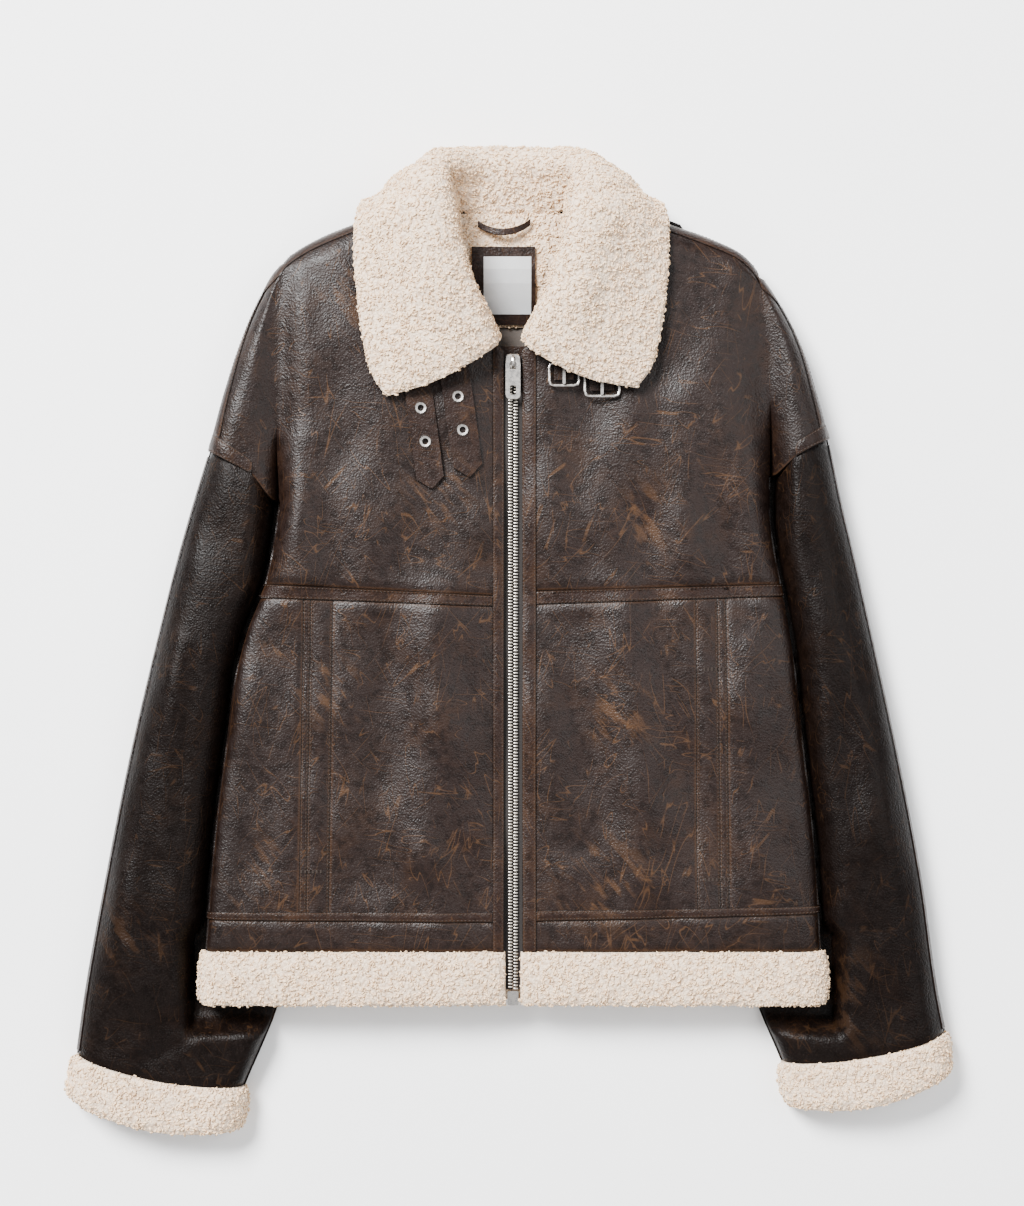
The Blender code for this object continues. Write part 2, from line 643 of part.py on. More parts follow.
BACK_COLUMNS = np.array([0.0, 0.0250, 0.0420, 0.0575, 0.088])
OVER_SLEEVE_STEPS = np.array([-0.060, -0.034, -0.006])
BACK_UPPER_SPREAD, BACK_LOWER_SPREAD = 5, 4


def back_columns(side, y):
    """Distances out of the back's columns, the outer ones along the sleeve that lies under it."""
    inner = float(smooth_through([(row[1], row[0]) for row in SLEEVE_INNER[side]], y))
    return np.concatenate([BACK_COLUMNS, inner + OVER_SLEEVE_STEPS])


def build_back():
    """One panel from the wearer's right outline to the left, over both caps."""
    halves, plans = {}, {}
    for side in SIDES:
        plan, armhole_row = upper_grid(side, lambda y, s=side: back_columns(s, y), BACK_UPPER_SPREAD, back=True)
        low = lower_grid(side, lambda down, y, s=side: back_columns(s, y), BACK_LOWER_SPREAD)[1:]
        empty = np.full((low.shape[0], plan.shape[1] - low.shape[1], 2), np.nan)
        plan = np.concatenate([plan[:-1], np.concatenate([low, empty], axis=1)])
        halves[side] = raise_grid(side, plan, back_z)
        plans[side] = plan
    right, left = halves[RIGHT], halves[LEFT]
    centre = (right[:, :1] + left[:, :1]) / 2
    points = np.concatenate([right[:, :0:-1], centre, left[:, 1:]], axis=1)
    cap = len(CAP_SHARES) - 1
    last, width = points.shape[0] - 1, points.shape[1] - 1
    cells = cells_of((0, last), (cap, width - cap))
    cells += cells_of((0, armhole_row), (0, cap)) + cells_of((0, armhole_row), (width - cap, width))
    normals = face_normals_at(points, cells, 1.0, False)
    middle = points.shape[1] // 2
    normals *= 1.0 if normals[last // 2, middle, 2] < 0 else -1.0
    normals[:, :middle + 1] = square_to_seams(RIGHT, plans[RIGHT][:, ::-1], normals[:, :middle + 1])
    normals[:, middle:] = square_to_seams(LEFT, plans[LEFT], normals[:, middle:])
    wall("back_panel", points, normals, cells, -LEATHER, 0.0, "leather")


# Sleeves and cuffs

SLEEVE_STATIONS = np.array([0.0042, 0.024, 0.07, 0.14, 0.24, 0.37, 0.51, 0.65, 0.76, 0.86, 0.94, 1.0])
# Columns of the sleeve's front, as shares of its stretch outside the body's edge and of the rest
ACROSS_OPEN = np.array([0.0, 0.016, 0.065, 0.16, 0.30, 0.48, 0.66, 0.84, 0.94, 1.0])
ACROSS_COVERED = np.array([0.45, 0.82, 0.955, 1.0])
ACROSS_UNDER = np.array([0.0, 0.012, 0.05, 0.14, 0.45, 0.80, 0.94, 0.985, 1.0])
# Soft folds of the sleeves: side, share along and share across at each end, half-width, height
SLEEVE_FOLDS = [
    (RIGHT, 0.05, 0.62, 0.45, 0.50, 0.10, -0.0050),
    (RIGHT, 0.45, 0.22, 0.85, 0.30, 0.10, 0.0035),
    (RIGHT, 0.74, 0.75, 0.90, 0.55, 0.07, -0.0040),
    (LEFT, 0.04, 0.60, 0.40, 0.52, 0.10, -0.0045),
    (LEFT, 0.50, 0.25, 0.88, 0.28, 0.10, 0.0030),
    (LEFT, 0.78, 0.50, 0.92, 0.70, 0.07, -0.0040),
]


def sleeve_plan(side, down, across):
    """Place on the sleeve at a share down its length and a share across from its outer to its inner edge."""
    down, across = np.broadcast_arrays(down, across)
    outer = along(SLEEVE_OUTER[side], down)
    inner = along(SLEEVE_INNER[side], down)
    straight = outer + (inner - outer) * across[..., None]
    top_line = ARMHOLE[side] + UNDERARM[side]
    bow = along(top_line, across)
    chord = np.array(top_line[0]) + (np.array(top_line[-1]) - top_line[0]) * across[..., None]
    place = straight + (bow - chord) * ((1 - down) ** 3)[..., None]
    sag = np.array([0.0, -0.006]) * (np.sin(np.pi * across) * down**6)[..., None]
    return place + sag


def across_top(side, down):
    """Shares across the sleeve's front, with a column where the body's edge comes to lie on it."""
    trial = np.linspace(0.30, 0.86, 57)
    place = sleeve_plan(side, np.full(len(trial), down), trial)
    beyond = place[:, 0] - side_edge(side, np.maximum(place[:, 1], -0.262)) - 0.0040
    border = trial[int(np.argmax(beyond < 0))] if (beyond < 0).any() else trial[-1]
    return np.concatenate([border * ACROSS_OPEN, border + (1 - border) * ACROSS_COVERED])


def sleeve_cap(side, out, y):
    """Highest that the sleeve may reach: under the body's side it stays below the lifted back."""
    hem = 0.0082 * ease((-0.235 - y) / 0.020) * ease((y + 0.345) / 0.020)
    under = side_lift(y) - 0.0016 - hem
    beyond = out - side_edge(side, np.maximum(y, -0.262)) - 0.0045 - 0.008 * ease((-0.235 - y) / 0.020)
    past_hem = ease((-0.318 - y) / 0.030)
    return under + (SLEEVE_RIDGE - under) * np.maximum(rounded(beyond / EDGE_ROUND), past_hem)


def sleeve_top_z(side, down, across, place):
    width = np.linalg.norm(along(SLEEVE_OUTER[side], down) - along(SLEEVE_INNER[side], down), axis=-1)
    ridge = smooth_through([(0.0, 0.044), (0.3, 0.046), (0.7, 0.046), (1.0, 0.040)], down)
    body = smooth_through([(0.0, 0.90), (0.3, 1.0), (0.62, 0.93), (1.0, 0.80)], across)
    height = ridge * body
    for fold_side, down_a, across_a, down_b, across_b, half, rise in SLEEVE_FOLDS:
        if fold_side == side:
            share = np.clip((down - down_a) / (down_b - down_a), 0, 1)
            off = np.hypot(across - (across_a + (across_b - across_a) * share),
                           (down - (down_a + (down_b - down_a) * share)) * 3)
            height = height + rise * np.exp(-((off / half) ** 2))
    height = np.minimum(height, sleeve_cap(side, place[..., 0], place[..., 1]))
    seam = np.minimum(SLEEVE_SEAM_Z, height * 0.45)
    outer_pull = 1 - rounded(across * width / SLEEVE_ROUND)
    inner_pull = 1 - rounded((1 - across) * width / (0.010 + 0.010 * ease((down - 0.75) / 0.2)))
    return height - (height - seam) * np.maximum(outer_pull, inner_pull)


def sleeve_under_z(side, down, across, place):
    width = np.linalg.norm(along(SLEEVE_OUTER[side], down) - along(SLEEVE_INNER[side], down), axis=-1)
    ends = sleeve_top_z(side, down, np.round(across), sleeve_plan(side, down, np.round(across)))
    outer_pull = 1 - rounded(across * width / SLEEVE_ROUND)
    inner_pull = 1 - rounded((1 - across) * width / (0.010 + 0.010 * ease((down - 0.75) / 0.2)))
    return ends * np.maximum(outer_pull, inner_pull)


def sleeve_grid(side, stations, across, height):
    """World points of a sleeve's face; across is a list of shares, or a function of the share down."""
    over = np.array([across(side, station) if callable(across) else across for station in stations])
    down = np.broadcast_to(np.asarray(stations)[:, None], over.shape)
    place = sleeve_plan(side, down, over)
    z = height(side, down, over, place)
    return np.stack([ZIP_X + side * place[..., 0], place[..., 1], z], axis=-1)


def build_sleeve(side):
    word = SIDES[side]
    halves = {"sleeve_front": (across_top, sleeve_top_z, 1.0), "sleeve_back": (ACROSS_UNDER, sleeve_under_z, -1.0)}
    for name, (across, height, way) in halves.items():
        points = sleeve_grid(side, SLEEVE_STATIONS, across, height)
        cells = cells_of((0, points.shape[0] - 1), (0, points.shape[1] - 1))
        normals = face_normals_at(points, cells, 1.0, False)
        normals *= way if normals[6, 4, 2] > 0 else -way
        normals[:, [0, -1], 2] = 0.0
        normals /= np.linalg.norm(normals, axis=-1, keepdims=True)
        wall(name + "_" + word, points, normals, cells, -LEATHER, 0.0, "leather")


CUFF_STEPS = np.array([0.0, 0.08, 0.30, 0.70, 0.92, 1.0])
# Share of the cuff's length that it stands off the sleeve's seam
CUFF_START = 0.015
CUFF_SWELL = np.array([0.0, 0.60, 0.97, 0.97, 0.60, 0.0])


def build_cuff(side):
    """A borg tube past the sleeve's end, proud of it on the top and sides and flat below."""
    top_across = across_top(side, 1.0)
    top = sleeve_grid(side, np.array([1.0]), top_across, sleeve_top_z)[0]
    under = sleeve_grid(side, np.array([1.0]), ACROSS_UNDER, sleeve_under_z)[0]
    loop = np.concatenate([top, under[-2:0:-1]])
    loop_across = np.concatenate([top_across, ACROSS_UNDER[-2:0:-1]])
    ends = np.array([[ZIP_X + side * out, y, 0.0] for out, y in CUFF_END[side]])
    starts = sleeve_grid(side, np.array([1.0]), np.array([0.0, 1.0]), sleeve_under_z)[0]
    travel = np.stack([between((ends - starts)[:, axis], loop_across) for axis in range(3)], axis=-1)
    travel[:, 2] = 0.0
    travel[:, 1] -= 0.006 * np.sin(np.pi * loop_across)
    grid = loop[None] + travel[None] * (CUFF_STEPS[:, None, None] * (1 - CUFF_START) + CUFF_START)
    cells = cells_of((0, len(CUFF_STEPS) - 1), (0, len(loop)))
    normals = face_normals_at(grid, cells, 1.0, True)
    normals *= 1.0 if normals[2, 3, 2] > 0 else -1.0
    # The floor side swells inwards only, so that it lies flat.
    reach = np.where(normals[..., 2] < 0, grid[..., 2] / np.maximum(-normals[..., 2], 1e-6), CUFF_PROUD)
    high = np.minimum(CUFF_PROUD * CUFF_SWELL[:, None], reach)
    wall("cuff_" + SIDES[side], grid, normals, cells, -CUFF_INSIDE, high, "borg", ring=True)


# Borg hem

HEM_ROWS = np.array([-0.2637, -0.2655, -0.2720, -0.3005, -0.3060, BORG_HEM_END_Y])
HEM_SWELL = np.array([0.15, 0.60, 0.97, 0.97, 0.60, 0.15])


def hem_points(side, outs_of, height):
    rows = []
    for y in HEM_ROWS:
        edge = float(side_edge(side, HEM_END_Y))
        outs = outs_of(edge)
        rows.append(raise_grid(side, np.column_stack([outs, np.full(len(outs), y)])[None], height)[0])
    return np.array(rows)


def hem_front_z(side, out, y):
    return front_z(side, out, np.full(np.shape(out), HEM_END_Y))


def hem_back_z(side, out, y):
    return back_z(side, out, np.full(np.shape(out), HEM_END_Y))


def build_hem():
    inner = np.array([0.0066, 0.030, 0.060, 0.090, 0.120, 0.150, 0.180, 0.210])
    for side, word in SIDES.items():
        points = hem_points(side, lambda edge: np.concatenate([inner, edge - EDGE_STEPS[::-1]]), hem_front_z)
        cells = cells_of((0, len(HEM_ROWS) - 1), (0, points.shape[1] - 1))
        normals = face_normals_at(points, cells, 1.0, False)
        normals *= 1.0 if normals[3, 3, 2] > 0 else -1.0
        normals[:, -1, 1:] = 0.0
        normals[:, -1] /= np.abs(normals[:, -1, :1])
        wall("hem_borg_" + word, points, normals, cells, -HEM_INSIDE, HEM_PROUD * HEM_SWELL[:, None], "borg")
    centre = np.array([0.0, 0.05, 0.10, 0.145, 0.175, 0.205])
    parts = [hem_points(side, lambda edge: np.concatenate([centre, edge - EDGE_STEPS[::-1]]), hem_back_z)
             for side in (RIGHT, LEFT)]
    points = np.concatenate([parts[0][:, :0:-1], (parts[0][:, :1] + parts[1][:, :1]) / 2, parts[1][:, 1:]], axis=1)
    cells = cells_of((0, len(HEM_ROWS) - 1), (0, points.shape[1] - 1))
    normals = face_normals_at(points, cells, 1.0, False)
    normals *= 1.0 if normals[3, points.shape[1] // 2, 2] < 0 else -1.0
    for column in (0, -1):
        normals[:, column, 1:] = 0.0
        normals[:, column] /= np.abs(normals[:, column, :1])
    # Where the hem lies on the floor it swells inwards only.
    free = np.clip(points[..., 2] / 0.012, 0, 1)
    wall("hem_borg_back", points, normals, cells, -0.0085 + 0.005 * free, HEM_PROUD * HEM_SWELL[:, None] * free, "borg")


# Collar

COLLAR_ALONG = 23
COLLAR_ACROSS = np.array([0.0, 0.05, 0.15, 0.26, 0.36, 0.47, 0.62, 0.78, 0.94, 1.0])
# Lowest place of the collar between borg and leather, so that the borg clears the floor
COLLAR_LOWEST = 0.0086
# Share of its full thickness that the borg keeps at the collar's rim
RIM_SHARE = 0.35


def collar_grid(stations, across):
    """Where the borg meets the leather of the collar, from the wearer's right end round to the left end."""
    table = np.array(COLLAR)
    half = np.linspace(0, 1, len(table))
    rows = []
    for place in stations:
        side = RIGHT if place < 0.5 else LEFT
        share = 1 - abs(place - 0.5) * 2
        section = smooth_through(np.column_stack([half, table.reshape(len(table), -1)]), share).reshape(-1, 3)
        if side == LEFT:
            tip = ease(1 - share / 0.25) * ease((section[:, 0] - 0.04) / 0.06)
            section[:, 1] += LEFT_TIP_LIFT * tip
        points = along(section, across)
        points[:, 0] = NECK_X + side * np.abs(points[:, 0])
        points[:, 2] = np.maximum(points[:, 2], COLLAR_LOWEST)
        rows.append(points)
    return np.array(rows)


def build_collar():
    stations = np.linspace(0, 1, COLLAR_ALONG)
    points = collar_grid(stations, COLLAR_ACROSS)
    cells = cells_of((0, COLLAR_ALONG - 1), (0, len(COLLAR_ACROSS) - 1))
    normals = face_normals_at(points, cells, 1.0, False)
    normals *= 1.0 if normals[3, 7, 2] > 0 else -1.0
    across = np.minimum(COLLAR_ACROSS, 1 - COLLAR_ACROSS)
    ends = np.minimum(stations, 1 - stations)
    full = rounded(RIM_SHARE + across / 0.10)[None, :] * rounded(RIM_SHARE + ends / 0.06)[:, None]
    wall("collar_borg", points, normals, cells, 2 * SEAM_GAP, BORG_THICK * full, "borg", trim=0.0)
    wall("collar_leather", points, normals, cells, -COLLAR_LEATHER, -2 * SEAM_GAP, "leather", trim=0.0015)


# Zip

TEETH_HALF = 0.0043
TEETH_UNDER_SLIDER = 0.0040
TEETH_RISE = 0.0024
TAPE_THICK = 0.0009
ZIP_TOP_Y, ZIP_END_Y = 0.2400, -0.2960
# Edges of the guard to the sides of the zip, and its faces below the tapes
GUARD_OUTS = (-0.014, 0.018)
GUARD_OFFSETS = (-0.0034, -0.0014)


def zip_face_z(y):
    """Height of the tape's upper face under the fronts."""
    return front_z(RIGHT, np.full(np.shape(y), 0.0078), y) - LEATHER - SEAM_GAP - 0.0004


def strip_along(name, outs, ys, bottom_offset, top_offset, kind, side=1):
    y, out = np.meshgrid(ys, outs, indexing="ij")
    base = np.stack([ZIP_X + side * out, y, zip_face_z(y)], axis=-1)
    rise = np.array([0.0, 0.0, 1.0])
    return solid_between(name, base + rise * bottom_offset, base + rise * top_offset, kind)


def build_zip():
    ys = np.linspace(ZIP_TOP_Y, ZIP_END_Y, 12)
    teeth = np.linspace(SLIDER_Y[1] + TEETH_UNDER_SLIDER, ZIP_END_Y, 12)
    for side, word in SIDES.items():
        strip_along("zip_tape_" + word, (0.0004, 0.0150), ys, -TAPE_THICK, 0.0, "tape", side)
        strip_along("zip_teeth_" + word, (0.0002, TEETH_HALF), teeth, SEAM_GAP, SEAM_GAP + TEETH_RISE, "metal", side)
    guard = np.linspace(0.2490, ZIP_END_Y + 0.006, 10)
    strip_along("zip_guard", GUARD_OUTS, guard, *GUARD_OFFSETS, "leather")


def ring_solid(name, rings, kind, closed=False):
    """A skin through rings of the same number of points, capped at the ends or closed on itself."""
    rings = [np.asarray(ring, float) for ring in rings]
    count = len(rings[0])
    points = np.concatenate(rings)
    faces = []
    pairs = len(rings) if closed else len(rings) - 1
    for ring in range(pairs):
        a, b = ring * count, ((ring + 1) % len(rings)) * count
        for i in range(count):
            j = (i + 1) % count
            faces.append([a + i, a + j, b + j, b + i])
    if not closed:
        faces.append(list(range(count))[::-1])
        faces.append([(len(rings) - 1) * count + i for i in range(count)])
    return add_mesh(name, points, faces, kind)


def outline_ring(half_width, half_length, corner, count=4):
    """A rounded rectangle, as points round its centre."""
    points = []
    for quarter in range(4):
        sign_x = 1 if quarter in (0, 3) else -1
        sign_y = 1 if quarter in (0, 1) else -1
        for step in range(count):
            angle = np.pi / 2 * (quarter + step / (count - 1))
            points.append((sign_x * (half_width - corner) + corner * np.cos(angle),
                           sign_y * (half_length - corner) + corner * np.sin(angle)))
    return np.array(points)


SLIDER_Y = (0.2420, 0.2295)
SLIDER_HALF = 0.0066
BAIL_FOOT, BAIL_RISE, BAIL_HALF = 0.0022, 0.0054, 0.0009
PULL_BAR_HALF = 0.0011
PULL_BAR_REACH = 0.00145
PULL_LENGTH = 0.0330
PULL_HALF = 0.0062
PULL_THICK = 0.0018


def build_slider():
    centre_y = sum(SLIDER_Y) / 2
    base = float(zip_face_z(np.array(centre_y))) + SEAM_GAP + TEETH_RISE + SEAM_GAP
    half_length = (SLIDER_Y[0] - SLIDER_Y[1]) / 2
    rings = []
    for rise, scale in ((0.0, 0.9), (0.0008, 1.0), (0.0024, 1.0), (0.0032, 0.88)):
        ring = outline_ring(SLIDER_HALF * scale, half_length * scale, 0.003 * scale)
        rings.append(np.column_stack([ring[:, 0] + ZIP_X, ring[:, 1] + centre_y, np.full(len(ring), base + rise)]))
    slider = ring_solid("zip_slider", rings, "metal")
    bail = []
    for angle in np.linspace(0, np.pi, 9):
        spine = np.array([0.0, np.cos(angle) * 0.0050, BAIL_FOOT + np.sin(angle) * BAIL_RISE])
        ring = []
        for turn in np.linspace(0, 2 * np.pi, 9)[:-1]:
            outward = np.array([0.0, np.cos(angle), np.sin(angle)])
            ring.append(spine + outward * np.cos(turn) * BAIL_HALF + np.array([np.sin(turn) * 0.0014, 0, 0]))
        bail.append(np.array(ring) + np.array([ZIP_X, centre_y, base]))
    arch = ring_solid("zip_slider_bail", bail, "metal")
    join(slider, arch, "UNION")
    hinge_z = base + BAIL_FOOT + BAIL_RISE - BAIL_HALF - SEAM_GAP - PULL_BAR_REACH
    return centre_y, hinge_z


def join(target, other, operation):
    """Applies a union or a cut to the target's mesh and removes the other object."""
    change = target.modifiers.new("shape", "BOOLEAN")
    change.operation = operation
    change.object = other
    bpy.context.view_layer.update()
    graph = bpy.context.evaluated_depsgraph_get()
    mesh = bpy.data.meshes.new_from_object(target.evaluated_get(graph))
    target.modifiers.clear()
    old = target.data
    target.data = mesh
    mesh.name = target.name
    bpy.data.meshes.remove(old)
    bpy.data.objects.remove(other)


def plate(name, outline, low_z, high_z, kind):
    rings = [np.column_stack([outline, np.full(len(outline), z)]) for z in (low_z, high_z)]
    return ring_solid(name, rings, kind)


def build_pull_tab(centre_y, hinge_z):
    """The pull tab hangs from the slider's bail down the zip. Its origin is on the hinge's axis."""
    low, high = -PULL_THICK / 2, PULL_THICK / 2
    body = outline_ring(PULL_HALF, PULL_LENGTH / 2, 0.0035)
    shift = np.array([0.0, -PULL_LENGTH / 2 + PULL_BAR_HALF])
    tab = plate("zip_pull_tab", body + shift, low, high, "metal")
    tab.location = (ZIP_X, centre_y, hinge_z)
    windows = (((0.0030, 0.0029), -PULL_BAR_HALF - 0.0029), ((0.0026, 0.0040), -0.0245))
    for (half_width, half_length), y in windows:
        cutter = plate("window", outline_ring(half_width, half_length, 0.0012) + np.array([0.0, y]), -0.01, 0.01, "metal")
        cutter.location = (ZIP_X, centre_y, hinge_z)
        join(tab, cutter, "DIFFERENCE")


def build_zip_box():
    """The pin and box at the zip's lower end."""
    y = ZIP_END_Y - 0.0007
    base = float(zip_face_z(np.array(ZIP_END_Y))) - 0.0012
    outline = outline_ring(0.0046, 0.0060, 0.0012) + np.array([ZIP_X, y - 0.0062])
    plate("zip_box", outline, base, base + 0.0042, "metal")


# Straps, eyelets and buckles

def build_strap(word):
    (out_a, y_a), (out_b, y_b), width = STRAPS[word]
    run = np.array([out_b - out_a, y_b - y_a])
    length = np.linalg.norm(run)
    run = run / length
    side_way = np.array([-run[1], run[0]])
    rows = []
    shoulder = width * 0.42
    steps = list(np.linspace(0, length - shoulder, 7)) + [length - shoulder * 0.5, length - 0.0008]
    for step in steps:
        narrow = min(1.0, (length - step) / shoulder)
        centre = np.array([out_a, y_a]) + run * step
        rows.append([centre + side_way * width / 2 * narrow * share for share in (-1, -0.33, 0.33, 1)])
    plan = np.array(rows)
    lower = raise_grid(RIGHT, plan, front_z) + np.array([0, 0, STRAP_LIFT])
    strap = solid_between("strap_" + word, lower, lower + np.array([0, 0, STRAP_THICK]), "trim_leather")
    for number, step in enumerate(EYELET_STEPS):
        centre = np.array([out_b, y_b]) - run * step
        x, y = ZIP_X - centre[0], centre[1]
        z = float(front_z(RIGHT, centre[0], centre[1])) + STRAP_LIFT
        angles = np.linspace(0, 2 * np.pi, 12)[:-1]
        circle = np.column_stack([np.cos(angles), np.sin(angles)])
        cutter = plate("hole", circle * (EYELET_HOLE + 0.0009) + (x, y), z - 0.02, z + 0.02, "trim_leather")
        join(strap, cutter, "DIFFERENCE")
        rings = []
        top = z + STRAP_THICK + SEAM_GAP
        sections = ((EYELET_HOLE, z), (EYELET_HOLE + 0.0006, z), (EYELET_HOLE + 0.0006, top),
                    (EYELET_OUTER, top), (EYELET_OUTER - 0.0007, top + 0.0009), (EYELET_HOLE, top + 0.0007))
        for angle in angles:
            rings.append([(x + np.cos(angle) * r, y + np.sin(angle) * r, height) for r, height in sections])
        ring_solid(f"eyelet_{word}_{number + 1}", rings, "metal", closed=True)


def wire_ring(name, corners, radius, kind, corner=0.004):
    """A closed wire along a rounded rectangle given by four corner points."""
    corners = [np.array(point, float) for point in corners]
    path = []
    for index, point in enumerate(corners):
        before, after = corners[index - 1], corners[(index + 1) % 4]
        into = (before - point) / np.linalg.norm(before - point)
        away = (after - point) / np.linalg.norm(after - point)
        for share in (0.0, 0.5, 1.0):
            bend = point + into * corner * (1 - share) ** 2 + away * corner * share**2
            path.append(bend)
    rings = []
    for index, point in enumerate(path):
        ahead = path[(index + 1) % len(path)] - path[index - 1]
        ahead /= np.linalg.norm(ahead)
        sideways = np.cross(ahead, (0, 0, 1))
        sideways /= np.linalg.norm(sideways)
        up = np.cross(sideways, ahead)
        rings.append([point + (sideways * np.cos(a) + up * np.sin(a)) * radius
                      for a in np.linspace(0, 2 * np.pi, 9)[:-1]])
    return ring_solid(name, rings, kind, closed=True)


def build_buckle(word):
    left, right, roller_y, bar_y = BUCKLES[word]
    radius = BUCKLE_WIRE / 2
    outs = np.linspace(left, right, 5)
    top = max(float(front_z(LEFT, out, y)) for out in outs for y in (roller_y, bar_y)) + 0.0034
    x_left, x_right = ZIP_X + left, ZIP_X + right
    corners = [(x_left, roller_y, top), (x_right, roller_y, top), (x_right, bar_y, top), (x_left, bar_y, top)]
    wire_ring("buckle_" + word, corners, radius, "metal")
    middle = (x_left + x_right) / 2
    prong_width = 0.0012
    rise = radius + SEAM_GAP + 0.0012
    ring = outline_ring(prong_width, (bar_y - roller_y) / 2 - 0.0008, 0.0010)
    ring = ring + np.array([middle, (bar_y + roller_y) / 2])
    plate("prong_" + word, ring, top + rise - 0.0011, top + rise + 0.0009, "metal")
    tab_half = (right - left) / 2 - 0.0040
    rows = []
    for y in (roller_y + 0.0048, (roller_y + bar_y) / 2, bar_y + 0.0060, bar_y + 0.0120):
        rows.append([((left + right) / 2 + tab_half * share, y) for share in (-1, 0, 1)])
    plan = np.array(rows)
    lower = raise_grid(LEFT, plan, front_z) + np.array([0, 0, TAB_LIFT])
    solid_between("buckle_tab_" + word, lower, lower + np.array([0, 0, TAB_THICK]), "trim_leather")


# Inside the neck

PATCH = (-0.0350, 0.0190, 0.3350, 0.2700)
LABEL = (-0.0250, 0.0155, 0.3265, 0.2786)
FACING_THICK = 0.0050
PATCH_THICK, LABEL_THICK, LINING_THICK = 0.0013, 0.0005, 0.0012


def inside_z(out_signed, y):
    """Height of the back's inner face at places x from the zip line."""
    side_right = back_z(RIGHT, np.abs(out_signed), y)
    side_left = back_z(LEFT, np.abs(out_signed), y)
    return np.where(out_signed < 0, side_right, side_left) + LEATHER + 0.0030


def pad(name, xs, ys, low, high, kind):
    y, x = np.meshgrid(ys, xs, indexing="ij")
    base = np.stack([ZIP_X + x, y, inside_z(x, y)], axis=-1)
    rise = np.array([0.0, 0.0, 1.0])
    return solid_between(name, base + rise * low, base + rise * high, kind)


def build_inside():
    xs = np.array([-0.052, -0.026, 0.0, 0.025, 0.050])
    ys = np.array([0.3560, 0.3455, PATCH[2], LABEL[2], 0.316, 0.304, 0.292, LABEL[3], PATCH[3], 0.2680])
    pad("neck_facing", xs, ys, 0.0, FACING_THICK, "borg")
    face = FACING_THICK + SEAM_GAP + 0.0004
    pad("label_patch", np.linspace(PATCH[0], PATCH[1], 3), ys[2:9],
        face, face + PATCH_THICK, "trim_leather")
    pad("label", np.linspace(LABEL[0], LABEL[1], 3), ys[3:8],
        face + PATCH_THICK + SEAM_GAP, face + PATCH_THICK + SEAM_GAP + LABEL_THICK, "satin")
    xs = np.linspace(-0.150, 0.150, 7)
    ys = np.linspace(0.2675, 0.1500, 5)
    pad("lining", xs, ys, 0.0, LINING_THICK, "lining")
    build_loop()


def build_loop():
    """The hanger loop, a strip from end to end along the neck seam with its middle sagging."""
    ends = ((-0.0300, 0.3545), (0.0150, 0.3560))
    base = float(inside_z(np.array(0.0), np.array(0.352))) + FACING_THICK + 0.0008
    rings = []
    for share in np.linspace(0, 1, 9):
        x = ends[0][0] + (ends[1][0] - ends[0][0]) * share
        y = ends[0][1] + (ends[1][1] - ends[0][1]) * share - 0.0088 * np.sin(np.pi * share) ** 0.8
        rise = 0.0065 * np.sin(np.pi * share)
        ring = outline_ring(0.0028, 0.0011, 0.0005, 2)
        rings.append([(ZIP_X + x, y + across, base + 0.0012 + rise + up) for across, up in ring])
    ring_solid("hanger_loop", rings, "trim_leather")


def place_on_origin():
    """Moves the whole jacket so that its box stands on z = 0 with its middle over the origin."""
    bpy.context.view_layer.update()
    corners = np.array([made.matrix_world @ vertex.co for made in bpy.data.objects for vertex in made.data.vertices])
    low, high = corners.min(axis=0), corners.max(axis=0)
    shift = -np.array([(low[0] + high[0]) / 2, (low[1] + high[1]) / 2, low[2]])
    for made in bpy.data.objects:
        made.location = np.array(made.location) + shift


def main():
    for old in list(bpy.data.objects):
        bpy.data.objects.remove(old)
    for side in SIDES:
        build_front(side)
        build_sleeve(side)
        build_cuff(side)
    build_back()
    build_hem()
    build_collar()
    build_zip()
    centre_y, hinge_z = build_slider()
    build_pull_tab(centre_y, hinge_z)
    build_zip_box()
    for word in STRAPS:
        build_strap(word)
    for word in BUCKLES:
        build_buckle(word)
    build_inside()
    place_on_origin()


main()
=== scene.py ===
"""Looks of the faux leather jacket with borg collar, hem and cuffs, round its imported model. Metres, +Z up.

Places on the garment are given as (out, y), as in the part's source: the distance out from the zip line,
and the height up the garment. The shapes of the walls are worked out from the same named sizes, only finer.
"""

import math

import bpy
import numpy as np
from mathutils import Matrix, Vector


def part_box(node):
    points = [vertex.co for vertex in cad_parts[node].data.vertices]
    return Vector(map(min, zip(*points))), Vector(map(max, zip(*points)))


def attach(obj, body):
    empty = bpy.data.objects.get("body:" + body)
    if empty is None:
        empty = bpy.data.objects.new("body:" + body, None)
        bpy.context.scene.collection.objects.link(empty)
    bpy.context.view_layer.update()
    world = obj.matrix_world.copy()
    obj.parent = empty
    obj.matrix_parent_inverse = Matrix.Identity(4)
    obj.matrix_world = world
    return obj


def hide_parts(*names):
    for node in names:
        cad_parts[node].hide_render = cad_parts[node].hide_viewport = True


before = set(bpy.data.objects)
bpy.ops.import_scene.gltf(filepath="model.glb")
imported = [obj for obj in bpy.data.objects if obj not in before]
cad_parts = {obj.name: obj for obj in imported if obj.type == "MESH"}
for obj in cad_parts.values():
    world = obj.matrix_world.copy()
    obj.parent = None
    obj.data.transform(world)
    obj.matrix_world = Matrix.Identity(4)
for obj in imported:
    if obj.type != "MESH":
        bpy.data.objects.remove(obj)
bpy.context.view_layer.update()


# Sizes and places of the part

RIGHT, LEFT = -1, 1
SIDES = {RIGHT: "right", LEFT: "left"}

